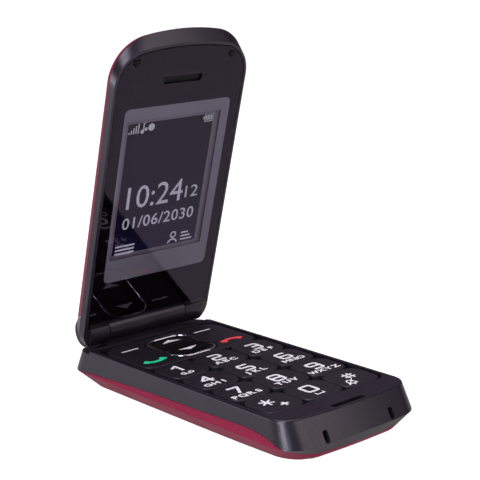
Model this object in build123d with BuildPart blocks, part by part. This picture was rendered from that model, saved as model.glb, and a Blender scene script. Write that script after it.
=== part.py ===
from build123d import *
from math import cos, radians, sin
import os

# Clamshell handset with a large keypad, its lid carried on a spring-and-cam hinge.
#
# Row frame, in millimetres: +Z up, +Y from the microphone end towards the hinge, +X to the right of
# someone who reads the screen. The origin is the centre of the flat rest area under the battery cover.
# The lid stands at lid_angle from its closed place. Its pieces are drawn on planes where x runs
# along the hinge, v up the lid from the hinge axis and w out of the screen towards the reader.

os.makedirs("parts", exist_ok=True)

# ================================================================ driving dimensions
# Base: three outlines stacked in height, the rim at the deck, the waist and the floor.
deck_z = 14.05
waist_z = 6.6
deck_border = 1.425
waist_flare = 1.2
floor_tuck = 6.5
rim_front, rim_rear = -66.7, 31.0
front_slope, rear_slope = 3.7, 4.1
floor_tuck_front, floor_tuck_rear = 3.4, 4.1
front_crown = 1.5
rim_corners, waist_corners, floor_corners = (6.5, 5.0), (8.5, 7.5), (12.0, 8.0)
belly_flat_front = -24.0
belly_rise = 1.8
belly_edge = 5.5
rim_edge = 0.5

# Line where the black front housing meets the coloured cover, seen from the side:
# distance behind the front rim, and height above the waist.
parting_steps = [
    (103.7, -0.4), (78.5, 1.2), (49.5, 2.2), (22.4, 2.8), (6.7, 1.8), (-0.5, -1.4), (-4.4, -5.0)
]
seam_gap = 0.12

housing_wall = 1.6
cover_wall = 1.2
shelf_drop = 4.15
shelf_thickness = 0.8
shelf_width = 1.2

# Key field
key_pitch_x, key_pitch_y = 15.1, 13.55
key_rows = 4
key_field_top = -3.6
key_seam = 0.35
key_corner = 3.8
key_proud = -0.05
key_edge = 0.45
key_skirt_drop = 2.15
key_stem_x, key_stem_y = 9.0, 7.6
stem_corner = 1.0
well_gap, well_corner = 0.4, 3.0
side_gap, side_trim = 0.95, 0.55
command_length = 25.8
command_corner = 6.4
command_stem_x, command_stem_y = 9.0, 6.0
command_stem_side, command_stem_inset = 7.3, 6.6

# Navigation pad and its bright ring
ring_half_x, ring_border = 8.3, 2.4
ring_corner = 5.0
ring_width = 1.05
ring_seat = 0.8
ring_offset = 0.2
pad_sink = 0.25
pad_stem_x, pad_stem_y = 7.0, 12.0
moving_gap = 0.3

# Keypad frame, mat and dome sheet
frame_thickness = 0.6
frame_gap = 0.2
window_gap = 0.6
mat_gap = 0.15
mat_thickness = 0.7
dome_thickness = 0.2
stem_gap = 0.45
dome_inset = 1.0

# Microphone and charging slots
mic_slot_length, mic_slot_width, mic_slot_inset = 12.4, 1.9, 1.75
mic_inset, mic_radius, mic_height = 3.5, 2.0, 1.6
charge_slot_x, charge_slot_z = 12.5, 8.3
charge_slot_width, charge_slot_height = 1.7, 3.3
contact_width, contact_thickness, contact_height = 2.6, 0.5, 4.6

# Hinge
hinge_setback = -1.0
hinge_rise = 4.15
barrel_radius = 4.6
barrel_half = 15.0
knuckle_gap = 0.3
knuckle_inset = 2.0
cove_gap = 0.35
neck_half = 2.7
trough_inset = 1.8
trough_depth = 1.05
lip_width, lip_height = 0.45, 0.25
barrel_bore = 3.3
fit_clearance = 0.05
lid_angle = 73.4
case_start, case_wall = 2.0, 0.75
cam_length, follower_length = 3.3, 1.8
key_length, key_flat, key_round = 4.2, 2.6, 1.8
spring_turns, spring_pitch, spring_wire = 4, 1.35, 0.3
bush_length, pin_radius, pin_length = 4.3, 1.55, 9.2
flex_width, flex_thickness, flex_x = 5.4, 0.3, -6.6
flex_roll = 1.2

# Lid
lens_face_w = 3.6
lid_waist_w = 1.05
lid_flare = 0.6
lid_rim_slope, lid_back_tuck = 0.15, 3.4
lid_front_gap = 1.4
lid_end_slope, lid_back_end_tuck = 3.6, 3.0
lid_rim_crown, lid_waist_crown = 3.0, 4.0
lid_rim_corner, lid_waist_corner, lid_back_corner = 11.0, 14.0, 13.0
heel_radius = 4.8
heel_corner = 7.0
back_deep_w = -5.6
back_line = [(-8.0, -4.75), (50.0, -3.6), (101.0, -2.4)]
back_edge = 2.2
shell_wall = 1.1
shell_start_v = 2.4
shell_turn_v = 7.0
pocket_inset, pocket_low, pocket_end_inset, pocket_corner = 2.25, 6.8, 1.6, 8.0
lens_thickness = 1.0
lens_margin = 0.95
lens_gap = 0.1
lens_low = 3.4
lens_edge = 0.2
glue_gap = 0.05
mask_thickness = 0.1
face_plate = 0.8

# Display
window_half, window_low, window_high = 17.9, 25.8, 71.8
active_half, active_low, active_high = 16.3, 26.6, 70.4
lcd_half, lcd_low, lcd_high = 19.3, 22.6, 74.4
lcd_thickness = 2.6
lcd_lip = 0.2
lcd_wall = 0.5
lid_board_inset, lid_board_end_inset, lid_board_thickness = 2.3, 1.4, 0.7

# Earpiece, magnet, bumpers and screws
ear_wide, ear_narrow, ear_inset, ear_width = 7.8, 6.8, 10.1, 2.3
ear_corner = 0.8
ear_mesh_margin, ear_mesh_thickness = 0.5, 0.2
receiver_x, receiver_v, receiver_depth = 15.0, 9.0, 2.6
magnet_x, magnet_size, magnet_depth = -14.5, 4.0, 1.5
bumper_inset, bumper_end_inset, bumper_radius, bumper_proud = 7.0, 4.9, 1.1, 0.45
low_screw_inset, low_screw_v = 5.35, 11.0
lid_screw_head, lid_screw_shank, lid_head_height, lid_screw_length = 1.5, 0.75, 0.8, 3.6
lid_boss_radius = 1.7
lid_boss_front_w = 0.8

# Chassis, battery and boards
chassis_gap = 0.3
chassis_front_inset, chassis_hinge_inset, chassis_drop = 2.2, 1.0, 0.6
chassis_floor = 1.1
well_floor_rise, sos_boss_rise = 0.9, 0.9
battery_x, battery_y, battery_z, battery_mid_y = 35.0, 53.0, 4.3, -14.5
battery_gap = 0.3
bay_wall = 1.4
rear_well_inset, front_well_inset = 4.6, 7.5
board_drop, board_thickness = 1.9, 1.0
board_side, board_front_reach, board_rear_reach = 1.875, 0.3, 0.7
rail_inset, rail_half = 1.4, 0.9
pocket_rim = 2.5
front_screw_inset, rear_screw_inset = (8.6, 5.6), (6.5, 4.4)
base_screw_head, base_screw_shank, base_head_height, base_screw_length = 1.6, 0.85, 1.0, 7.3
base_boss_radius = 2.1
base_boss_z = 7.5
base_head_z = 3.3
can_x, can_y, can_height, can_sheet, can_spread = 10.8, 8.4, 1.5, 0.2, 12.3
card_x, card_y, card_mid_y, card_sheet = 25.4, 16.4, -31.5, 0.3
blade_width, blade_thickness, blade_pitch, blade_low_z = 1.2, 0.35, 3.5, 4.0
antenna_x, antenna_thickness = 26.0, 0.3

# Side and rear controls
volume_y, volume_z, volume_length, volume_height = 13.0, 10.3, 13.0, 2.2
volume_inset, volume_proud, volume_floor_gap = 0.65, 0.0, 0.25
usb_y, usb_z, usb_width, usb_height, usb_depth, usb_wall = -50.0, 6.6, 7.5, 2.5, 5.2, 0.35
sos_y, sos_radius, sos_stem_radius, sos_face_z, sos_thickness, sos_gap = 18.5, 4.4, 1.9, 0.3, 1.7, 0.45
speaker_y, speaker_x_size, speaker_y_size, speaker_depth, speaker_rim = -50.0, 15.0, 11.0, 3.2, 1.3
motor_x, motor_radius, motor_height = -13.0, 4.0, 2.7
notch_width, notch_height, notch_depth = 14.0, 2.6, 0.9
speaker_slots, speaker_slot_pitch, speaker_slot_width, speaker_slot_length = 5, 2.6, 0.9, 8.0

# ================================================================ derived places
key_field_half = 1.5 * key_pitch_x - key_seam / 2 - side_trim
well_half = key_field_half + side_gap
rim_half = well_half + deck_border
waist_half = rim_half + waist_flare
floor_half = waist_half - floor_tuck
waist_front, waist_rear = rim_front - front_slope, rim_rear + rear_slope
floor_front, floor_rear = waist_front + floor_tuck_front, waist_rear - floor_tuck_rear
parting_line = [(rim_front + step, waist_z + height) for step, height in parting_steps]
shelf_z = deck_z - shelf_drop
board_z = shelf_z - board_drop
chassis_top = board_z - chassis_drop
dome_z = board_z + board_thickness
mat_z = dome_z + dome_thickness + mat_gap
frame_z = shelf_z + shelf_thickness
key_stem_z = mat_z + mat_thickness + stem_gap
key_skirt_z = deck_z - key_skirt_drop
key_top_z = deck_z + key_proud
well_front = key_field_top - key_rows * key_pitch_y + key_seam / 2 - well_gap
command_top = key_field_top + command_length
well_rear = command_top + well_gap
well_mid = (well_front + well_rear) / 2
well_length = well_rear - well_front
ring_y = (key_field_top + command_top) / 2 - ring_offset
ring_half_y = command_length / 2 - ring_border
command_x = well_half - command_stem_side
soft_key_y, call_key_y = command_top - command_stem_inset, key_field_top + command_stem_inset + key_seam
mic_y, mic_slot_y = rim_front + mic_inset, rim_front + mic_slot_inset

hinge_y = rim_rear + hinge_setback
hinge_z = deck_z + hinge_rise
knuckle_end = rim_half - knuckle_inset
trough_y = command_top + trough_inset
rear_block_y = well_rear + shelf_width + shelf_width
case_bore = barrel_bore - fit_clearance - case_wall
cam_end_x = barrel_half - 0.4
cam_face_x = cam_end_x - cam_length
follower_face_x = cam_face_x - 0.45
spring_start_x = case_start + case_wall + spring_wire + 0.1
pin_end_x = -barrel_half + bush_length

lid_waist_half = rim_half + lid_flare
lid_rim_half = lid_waist_half - lid_rim_slope
lid_back_half = lid_waist_half - lid_back_tuck
lid_rim_top = hinge_y - rim_front - lid_front_gap
lid_waist_top = lid_rim_top + lid_end_slope
lid_back_top = lid_waist_top - lid_back_end_tuck
pocket_half, pocket_high = lid_rim_half - pocket_inset, lid_rim_top - pocket_end_inset
ear_high = lid_rim_top - ear_inset
ear_low = ear_high - ear_width
magnet_v = ear_high - ear_width / 2
bumper_x, bumper_v = lid_rim_half - bumper_inset, lid_rim_top - bumper_end_inset
low_screw_x = lid_rim_half - low_screw_inset
lens_back_w = lens_face_w - lens_thickness
mask_back_w = lens_back_w - glue_gap - mask_thickness
plate_back_w = mask_back_w - face_plate
lcd_front_w = plate_back_w - 0.1
lcd_back_w = lcd_front_w - lcd_thickness
lid_board_half = lcd_half - lid_board_inset
lid_board_low, lid_board_high = lcd_low + lid_board_end_inset, lcd_high - lid_board_end_inset

chassis_inset = housing_wall + chassis_gap
chassis_z = chassis_inset
sound_floor_z = chassis_z + chassis_floor + well_floor_rise
chassis_front, chassis_rear = rim_front + chassis_front_inset, hinge_y - chassis_hinge_inset
board_half = well_half - board_side
board_front, board_rear = well_front - board_front_reach, well_rear + board_rear_reach
contact_top_z = shelf_z - 0.4
contact_foot_z = contact_top_z - contact_height
bay_top = chassis_z + 0.2 + battery_z + 0.2
bay_rear = battery_mid_y + battery_y / 2 + battery_gap
bay_front = battery_mid_y - battery_y / 2 - battery_gap
base_screw_spots = [
    (side * (waist_half - inset[0]), end)
    for inset, end in (
        (front_screw_inset, rim_front + front_screw_inset[1]),
        (rear_screw_inset, rim_rear - rear_screw_inset[1]),
    )
    for side in (-1, 1)
]
lid_screw_spots = [
    (side * x, v) for x, v in ((bumper_x, bumper_v), (low_screw_x, low_screw_v)) for side in (-1, 1)
]
volume_back_x, volume_face_x = rim_half - volume_inset, waist_half + volume_proud
lid_up = radians(lid_angle)
hinge_point = (0, hinge_y, hinge_z)
lid_plane = Plane(origin=hinge_point, x_dir=(1, 0, 0), z_dir=(0, -sin(lid_up), -cos(lid_up)))
lid_side = Plane(origin=hinge_point, x_dir=(0, -cos(lid_up), sin(lid_up)), z_dir=(1, 0, 0))
hinge_line = Plane(origin=hinge_point, x_dir=(0, 1, 0), z_dir=(1, 0, 0))
wide = 80.0


# ================================================================ helpers
def keep(piece, name):
    """Label a finished piece and write it."""
    piece.part.label = name
    export_step(piece.part, f"parts/{name}.step")


def block(low, high, base=Plane.XY, mode=Mode.ADD):
    """Add or cut a plain block between two corners, measured on a base plane."""
    with BuildSketch(base.offset(low[2])) as foot:
        with Locations(((low[0] + high[0]) / 2, (low[1] + high[1]) / 2)):
            Rectangle(high[0] - low[0], high[1] - low[1])
    extrude(foot.sketch, amount=high[2] - low[2], mode=mode)


def soft_block(middle, size, corner, low, high, base=Plane.XY, mode=Mode.ADD):
    """Add or cut a block with rounded upright corners, between two levels of a base plane."""
    with BuildSketch(base.offset(low)) as foot:
        with Locations(middle):
            RectangleRounded(size[0], size[1], corner)
    extrude(foot.sketch, amount=high - low, mode=mode)


def disc(middle, radius, low, high, base=Plane.XY, mode=Mode.ADD):
    """Add or cut a round disc or bore between two levels of a base plane."""
    with BuildSketch(base.offset(low)) as foot:
        with Locations(middle):
            Circle(radius)
    extrude(foot.sketch, amount=high - low, mode=mode)


def soft_rectangle(half_width, low, high, low_corner, high_corner):
    """Rectangle centred on x = 0 whose two ends may have different corner radii."""
    with BuildSketch() as outline:
        with Locations((0, (low + high) / 2)):
            Rectangle(2 * half_width, high - low)
        fillet(outline.vertices().group_by(Axis.Y)[-1], high_corner)
        fillet(outline.vertices().group_by(Axis.Y)[0], low_corner)
    return outline.sketch


def crowned_outline(half_width, crowned_end, plain_end, crown, crowned_corner, plain_corner):
    """Rounded outline whose crowned end bows outwards; that end may face +Y or -Y."""
    shoulder = crowned_end - crown if crowned_end > plain_end else crowned_end + crown
    corners = [plain_corner, crowned_corner]
    if crowned_end < plain_end:
        corners.reverse()
    with BuildSketch() as outline:
        with BuildLine():
            Polyline(
                (-half_width, shoulder),
                (-half_width, plain_end),
                (half_width, plain_end),
                (half_width, shoulder),
            )
            ThreePointArc((half_width, shoulder), (0, crowned_end), (-half_width, shoulder))
        make_face()
        fillet(outline.vertices().group_by(Axis.Y)[-1], corners[1])
        fillet(outline.vertices().group_by(Axis.Y)[0], corners[0])
    return outline.sketch


# ================================================================ shared forms
def base_outline(half, front, rear, corners, inset):
    """Plan outline of the base at one height, drawn in all round by inset; corners are front and rear."""
    front_corner, rear_corner = corners[0] - inset * 0.8, corners[1] - inset * 0.8
    return crowned_outline(half - inset, front + inset, rear - inset, front_crown, front_corner, rear_corner)


def base_form(inset):
    """Solid form of the base, drawn in all round by inset: sloping walls over a boat-shaped belly."""
    rim = base_outline(rim_half, rim_front, rim_rear, rim_corners, inset)
    waist = base_outline(waist_half, waist_front, waist_rear, waist_corners, inset)
    floor = base_outline(floor_half, floor_front, floor_rear, floor_corners, inset)
    with BuildPart() as form:
        with BuildSketch(Plane.XY.offset(deck_z)):
            add(rim)
        with BuildSketch(Plane.XY.offset(waist_z)):
            add(waist)
        loft(ruled=True)
        with BuildSketch(Plane.XY.offset(waist_z)):
            add(waist)
        with BuildSketch(Plane.XY):
            add(floor)
        loft(ruled=True)
        with BuildSketch(Plane.YZ):
            with BuildLine():
                flat = Line((wide, inset), (belly_flat_front, inset))
                rise = ThreePointArc(
                    flat @ 1,
                    ((belly_flat_front + waist_front) / 2, inset + belly_rise / 4),
                    (waist_front, inset + belly_rise),
                )
                Polyline(rise @ 1, (-wide, inset + belly_rise * 2), (-wide, wide), (wide, wide), flat @ 0)
            make_face()
        extrude(amount=wide, both=True, mode=Mode.INTERSECT)
        belly = form.faces().filter_by(lambda face: face.normal_at().Z < -0.97)
        bend = Vector(0, belly_flat_front, inset)
        outer_edges = [edge for edge in belly.edges() if (edge.center() - bend).length > 1]
        fillet(outer_edges, belly_edge - inset * 0.8)
    return form.part


def base_slice(form, low, high, rear):
    """The share of a base form between two heights and in front of rear."""
    with BuildPart() as share:
        add(form)
        block((-wide, -wide, low), (wide, rear, high), mode=Mode.INTERSECT)
    return share.part


def parting_share(shift, above):
    """Everything above or below the base's parting line, drawn back from it by shift."""
    level = wide if above else -wide
    with BuildPart() as share:
        with BuildSketch(Plane.YZ):
            with BuildLine():
                seam = Spline(*[(y, z + shift) for y, z in parting_line])
                Polyline(
                    seam @ 1,
                    (-wide, (seam @ 1).Y),
                    (-wide, level),
                    (wide, level),
                    (wide, (seam @ 0).Y),
                    seam @ 0,
                )
            make_face()
        extrude(amount=wide, both=True)
    return share.part


def lid_outline(half, top, crown, corner, inset):
    """Outline of the lid at one depth, drawn in all round by inset."""
    return crowned_outline(
        half - inset, top - inset, inset - heel_radius, crown, corner - inset * 0.8, heel_corner - inset * 0.8
    )


def lid_form(inset):
    """Solid form of the lid, drawn in all round by inset: a sloping band in front of a crowned back."""
    rim = lid_outline(lid_rim_half, lid_rim_top, lid_rim_crown, lid_rim_corner, inset)
    waist = lid_outline(lid_waist_half, lid_waist_top, lid_waist_crown, lid_waist_corner, inset)
    back = lid_outline(lid_back_half, lid_back_top, lid_waist_crown, lid_back_corner, inset)
    heel = heel_radius - inset
    with BuildPart() as form:
        with BuildSketch(lid_plane.offset(lens_face_w)):
            add(rim)
        with BuildSketch(lid_plane.offset(lid_waist_w)):
            add(waist)
        loft(ruled=True)
        with BuildSketch(lid_plane.offset(lid_waist_w)):
            add(waist)
        with BuildSketch(lid_plane.offset(back_deep_w)):
            add(back)
        loft(ruled=True)
        with BuildSketch(lid_side):
            with BuildLine():
                spine = ThreePointArc(*[(v, w + inset) for v, w in back_line])
                Polyline(spine @ 1, (2 * wide, wide), (-wide, wide), spine @ 0)
            make_face()
        extrude(amount=wide, both=True, mode=Mode.INTERSECT)
        spine_middle = lid_side.from_local_coords((back_line[1][0], back_line[1][1] + inset, 0))
        fillet(form.faces().sort_by_distance(spine_middle)[0].edges(), back_edge - inset * 0.8)
        # round heel about the hinge axis
        with BuildSketch(lid_side):
            Circle(heel_radius - inset)
            with Locations((wide, 0)):
                Rectangle(2 * wide, 2 * wide)
        extrude(amount=wide, both=True, mode=Mode.INTERSECT)
    return form.part


def lid_share(shift, shell):
    """The shell's or the frame's share of the lid, drawn back from their seam by shift."""
    with BuildPart() as share:
        with BuildSketch(lid_side):
            with BuildLine():
                seam = Polyline(
                    (2 * wide, lid_waist_w),
                    (shell_turn_v, lid_waist_w),
                    (shell_start_v, back_deep_w),
                    (shell_start_v, -wide),
                )
                Line(seam @ 1, (2 * wide, -wide))
                Line((2 * wide, -wide), seam @ 0)
            make_face()
            offset(amount=shift, kind=Kind.INTERSECTION)
        extrude(amount=wide, both=True)
    if shell:
        return share.part
    with BuildPart() as rest:
        block((-wide, -wide, -wide), (wide, 2 * wide, wide), base=lid_plane)
        add(share.part, mode=Mode.SUBTRACT)
    return rest.part


def centre_cut(half, clear, low_v):
    """Space that the base's barrel and neck need in the lid."""
    with BuildPart() as cut:
        disc((0, 0), barrel_radius + clear, -half, half, base=hinge_line)
        block((-wide, -wide, -half), (low_v, wide, half), base=lid_side)
    return cut.part


# ================================================================ base housings
outer_form = base_form(0)
housing_hollow = base_form(housing_wall)
chassis_form = base_form(chassis_inset)


def make_front_housing():
    """Black front housing: side band, deck, key well, shelf and the hinge's centre barrel."""
    upper = parting_share(seam_gap / 2, True)
    key_space = base_slice(housing_hollow, -1, shelf_z, rear_block_y)
    chassis_space = base_slice(housing_hollow, -1, chassis_top + 0.2, chassis_rear + 0.5)
    well = soft_rectangle(well_half, well_front, well_rear, key_corner + well_gap, well_corner)
    with BuildPart() as housing:
        add(outer_form)
        add(upper, mode=Mode.INTERSECT)
        fillet(housing.faces().sort_by(Axis.Z)[-1].edges(), rim_edge)
        add(key_space, mode=Mode.SUBTRACT)
        add(chassis_space, mode=Mode.SUBTRACT)
        # key well from the shelf up, and the opening inside the shelf
        with BuildSketch(Plane.XY.offset(frame_z)):
            add(well)
        extrude(amount=deck_z, mode=Mode.SUBTRACT)
        soft_block(
            (0, well_mid),
            (2 * (well_half - shelf_width), well_length - 2 * shelf_width),
            key_corner,
            shelf_z - 1,
            frame_z + 1,
            mode=Mode.SUBTRACT,
        )
        # trough and coves that the lid's knuckles turn in
        block((-wide, trough_y, deck_z - trough_depth), (wide, wide, wide), mode=Mode.SUBTRACT)
        lip_front = trough_y - lip_width
        block((-well_half, lip_front, deck_z - lip_height), (well_half, trough_y, deck_z + lip_height))
        for low, high in ((-wide, -barrel_half - knuckle_gap / 2), (barrel_half + knuckle_gap / 2, wide)):
            disc((0, 0), heel_radius + cove_gap, low, high, base=hinge_line, mode=Mode.SUBTRACT)
        # centre barrel on its neck
        disc((0, 0), barrel_radius, -barrel_half, barrel_half, base=hinge_line)
        block((-barrel_half, hinge_y - neck_half, waist_z + 1), (barrel_half, hinge_y + neck_half, hinge_z))
        disc((0, 0), barrel_bore, -barrel_half, barrel_half, base=hinge_line, mode=Mode.SUBTRACT)
        # way down for the flexible cable
        flex_low, flex_high = flex_x - flex_width / 2 - 0.3, flex_x + flex_width / 2 + 0.3
        tail_y = hinge_y - flex_roll
        block((flex_low, tail_y - 0.5, dome_z - 0.1), (flex_high, tail_y + 0.3, hinge_z), mode=Mode.SUBTRACT)
        block((flex_low, board_rear, dome_z - 0.1), (flex_high, tail_y, dome_z + 0.8), mode=Mode.SUBTRACT)
        # microphone pocket and slot
        disc((0, mic_y), mic_radius + 0.3, shelf_z - 1, shelf_z + 2.1, mode=Mode.SUBTRACT)
        soft_block(
            (0, mic_slot_y),
            (mic_slot_length, mic_slot_width),
            mic_slot_width * 0.45,
            shelf_z + 1.6,
            wide,
            mode=Mode.SUBTRACT,
        )
        # charging slots in the end wall
        for side in (-1, 1):
            soft_block(
                (side * charge_slot_x, charge_slot_z),
                (charge_slot_width, charge_slot_height),
                charge_slot_width * 0.4,
                -rim_front - 0.4,
                wide,
                base=Plane.XZ,
                mode=Mode.SUBTRACT,
            )
        # recess for the volume rocker
        soft_block(
            (volume_y, volume_z),
            (volume_length + 2 * moving_gap, volume_height + 2 * moving_gap),
            volume_height * 0.5,
            volume_back_x - volume_floor_gap,
            wide,
            base=Plane.YZ,
            mode=Mode.SUBTRACT,
        )
        # screw bosses with their pilot holes
        for spot in base_screw_spots:
            disc(spot, base_boss_radius, base_boss_z, shelf_z + 0.2)
            disc(
                spot,
                base_screw_shank + fit_clearance,
                base_boss_z - 1,
                base_head_z + base_screw_length + 1.5,
                mode=Mode.SUBTRACT,
            )
    return housing


def make_cover():
    """Coloured battery cover: a thin boat-shaped skin below the parting line."""
    lower = parting_share(-seam_gap / 2, False)
    inside = base_form(cover_wall)
    with BuildPart() as cover:
        add(outer_form)
        add(lower, mode=Mode.INTERSECT)
        add(inside, mode=Mode.SUBTRACT)
        disc((0, sos_y), sos_radius + moving_gap, -1, 3, mode=Mode.SUBTRACT)
        with BuildSketch():
            with Locations((0, speaker_y)):
                with GridLocations(speaker_slot_pitch, 1, speaker_slots, 1):
                    SlotOverall(speaker_slot_length, speaker_slot_width, rotation=90)
        extrude(amount=4, mode=Mode.SUBTRACT)
        # window for the charging socket
        soft_block(
            (usb_y, usb_z),
            (usb_width + 0.8, usb_height + 0.8),
            usb_height * 0.4,
            floor_half,
            wide,
            base=Plane.YZ,
            mode=Mode.SUBTRACT,
        )
        # thumb notch in the rear edge
        soft_block(
            (0, waist_z),
            (notch_width, notch_height),
            notch_height * 0.4,
            -wide,
            notch_depth - waist_rear,
            base=Plane.XZ,
            mode=Mode.SUBTRACT,
        )
    return cover


def make_chassis():
    """Black rear chassis: battery bay open below, ceiling under the board, sound and button wells."""
    body = base_slice(chassis_form, 0, chassis_top, chassis_rear)
    rear_low, rear_high = bay_rear + bay_wall, chassis_rear - rear_well_inset
    front_low, front_high = chassis_front + front_well_inset, bay_front - bay_wall
    pocket_half_x = board_half - pocket_rim
    floor_top = chassis_z + chassis_floor
    with BuildPart() as chassis:
        add(body)
        block((-wide, -wide, -1), (wide, chassis_front, wide), mode=Mode.SUBTRACT)
        # battery bay, open towards the cover
        soft_block(
            (0, battery_mid_y),
            (battery_x + 2 * battery_gap, battery_y + 2 * battery_gap),
            1.5,
            -1,
            bay_top,
            mode=Mode.SUBTRACT,
        )
        # wells open towards the board
        soft_block(
            (0, (rear_low + rear_high) / 2),
            (2 * pocket_half_x, rear_high - rear_low),
            1.0,
            floor_top,
            wide,
            mode=Mode.SUBTRACT,
        )
        soft_block(
            (0, (front_low + front_high) / 2),
            (2 * pocket_half_x, front_high - front_low),
            1.0,
            sound_floor_z,
            wide,
            mode=Mode.SUBTRACT,
        )
        # button boss, its recess from below and its bore
        disc((0, sos_y), sos_radius + 1.6, chassis_z, floor_top + sos_boss_rise)
        disc((0, sos_y), sos_radius + moving_gap, -1, floor_top - 0.3, mode=Mode.SUBTRACT)
        disc((0, sos_y), sos_stem_radius + moving_gap, -1, wide, mode=Mode.SUBTRACT)
        # sound opening under the loudspeaker
        soft_block(
            (0, speaker_y),
            (speaker_x_size - 2 * speaker_rim, speaker_y_size - 2 * speaker_rim),
            1.0,
            -1,
            wide,
            mode=Mode.SUBTRACT,
        )
        # card holder window and battery contact notch
        soft_block(
            (0, card_mid_y), (card_x + 2 * moving_gap, card_y + 2 * moving_gap), 0.5, bay_top - 1, wide,
            mode=Mode.SUBTRACT,
        )
        notch_half = blade_pitch + blade_width + moving_gap
        block(
            (-notch_half, bay_rear - 0.5, floor_top),
            (notch_half, rear_low + 0.5, wide),
            mode=Mode.SUBTRACT,
        )
        # charging socket's way out
        block(
            (pocket_half_x - 1, usb_y - usb_width / 2 - 0.2, usb_z - usb_height / 2 - 0.2),
            (wide, usb_y + usb_width / 2 + 0.2, wide),
            mode=Mode.SUBTRACT,
        )
        # rails that the board rests on
        for side in (-1, 1):
            rail_x = side * (board_half - rail_inset)
            block(
                (rail_x - rail_half, bay_front + 6, chassis_top),
                (rail_x + rail_half, board_rear - 1, board_z),
            )
        for spot in base_screw_spots:
            disc(spot, base_screw_head + 0.3, -1, base_head_z + base_head_height + 0.1, mode=Mode.SUBTRACT)
            disc(spot, base_screw_shank + 0.2, -1, wide, mode=Mode.SUBTRACT)
    return chassis


# ================================================================ keys
def make_key(x, y):
    """One number key: a soft-cornered cap on a narrower stem that reaches down to the mat."""
    half_x = (key_pitch_x - key_seam) / 2
    low_x, high_x = max(x - half_x, -key_field_half), min(x + half_x, key_field_half)
    with BuildPart() as key:
        soft_block(
            ((low_x + high_x) / 2, y),
            (high_x - low_x, key_pitch_y - key_seam),
            key_corner,
            key_skirt_z,
            key_top_z,
        )
        fillet(key.faces().sort_by(Axis.Z)[-1].edges(), key_edge)
        soft_block((x, y), (key_stem_x, key_stem_y), stem_corner, key_stem_z, key_skirt_z)
    return key


def make_command_key(side):
    """Left or right command key: soft key and call key on one cap that curves round the ring."""
    low, high = key_field_top + key_seam / 2, command_top - key_seam / 2
    with BuildPart() as key:
        with BuildSketch(Plane.XY.offset(key_skirt_z)):
            add(soft_rectangle(key_field_half, low, high, key_corner, command_corner))
            with Locations((-side * (wide - key_seam / 2), 0)):
                Rectangle(2 * wide, 2 * wide, mode=Mode.SUBTRACT)
            with Locations((0, ring_y)):
                RectangleRounded(
                    2 * (ring_half_x + moving_gap),
                    2 * (ring_half_y + moving_gap),
                    ring_corner + moving_gap,
                    mode=Mode.SUBTRACT,
                )
        extrude(amount=key_top_z - key_skirt_z)
        fillet(key.faces().sort_by(Axis.Z)[-1].edges(), key_edge)
        for y in (soft_key_y, call_key_y):
            soft_block(
                (side * command_x, y), (command_stem_x, command_stem_y), stem_corner, key_stem_z, key_skirt_z
            )
    return key


def make_navigation_ring():
    """Bright ring round the navigation pad, with rounded edges."""
    with BuildPart() as ring:
        with BuildSketch(Plane.XY.offset(key_skirt_z + ring_seat)):
            with Locations((0, ring_y)):
                RectangleRounded(2 * ring_half_x, 2 * ring_half_y, ring_corner)
                RectangleRounded(
                    2 * (ring_half_x - ring_width),
                    2 * (ring_half_y - ring_width),
                    ring_corner - ring_width,
                    mode=Mode.SUBTRACT,
                )
        extrude(amount=key_top_z - key_skirt_z - ring_seat)
        fillet(ring.faces().sort_by(Axis.Z)[-1].edges(), ring_width * 0.4)
    return ring


def make_navigation_pad():
    """Up and down pad: a floor that carries the ring, the raised middle and the stem."""
    inner_x, inner_y = ring_half_x - ring_width - fit_clearance, ring_half_y - ring_width - fit_clearance
    with BuildPart() as pad:
        soft_block(
            (0, ring_y), (2 * ring_half_x, 2 * ring_half_y), ring_corner, key_skirt_z, key_skirt_z + ring_seat
        )
        soft_block(
            (0, ring_y),
            (2 * inner_x, 2 * inner_y),
            ring_corner - ring_width - fit_clearance,
            key_skirt_z + ring_seat,
            key_top_z - pad_sink,
        )
        fillet(pad.faces().sort_by(Axis.Z)[-1].edges(), rim_edge)
        soft_block((0, ring_y), (pad_stem_x, pad_stem_y), stem_corner, key_stem_z, key_skirt_z)
    return pad


def make_keypad_frame():
    """Thin frame on the shelf with one window for each stem."""
    with BuildPart() as frame:
        with BuildSketch(Plane.XY.offset(frame_z)):
            add(
                soft_rectangle(
                    well_half - frame_gap,
                    well_front + frame_gap,
                    well_rear - frame_gap,
                    key_corner,
                    command_corner,
                )
            )
            with Locations((0, key_field_top - key_rows * key_pitch_y / 2)):
                with GridLocations(key_pitch_x, key_pitch_y, 3, key_rows):
                    Rectangle(key_stem_x + 2 * window_gap, key_stem_y + 2 * window_gap, mode=Mode.SUBTRACT)
            with Locations(*[(side * command_x, y) for side in (-1, 1) for y in (soft_key_y, call_key_y)]):
                Rectangle(
                    command_stem_x + 2 * window_gap, command_stem_y + 2 * window_gap, mode=Mode.SUBTRACT
                )
            with Locations((0, ring_y)):
                Rectangle(pad_stem_x + 2 * window_gap, pad_stem_y + 2 * window_gap, mode=Mode.SUBTRACT)
        extrude(amount=frame_thickness)
    return frame


def make_keypad_mat():
    """Silicone mat under the stems."""
    with BuildPart() as mat:
        soft_block(
            (0, well_mid),
            (2 * (well_half - shelf_width - moving_gap), well_length - 2 * (shelf_width + moving_gap)),
            key_corner - moving_gap,
            mat_z,
            mat_z + mat_thickness,
        )
    return mat


def make_dome_sheet():
    """Foil that holds the snap domes on the board, with a dome under each stem."""
    with BuildPart() as sheet:
        soft_block(
            (0, well_mid),
            (2 * (well_half - shelf_width - dome_inset), well_length - 2 * (shelf_width + dome_inset)),
            key_corner - dome_inset,
            dome_z,
            dome_z + dome_thickness,
        )
    return sheet


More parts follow.
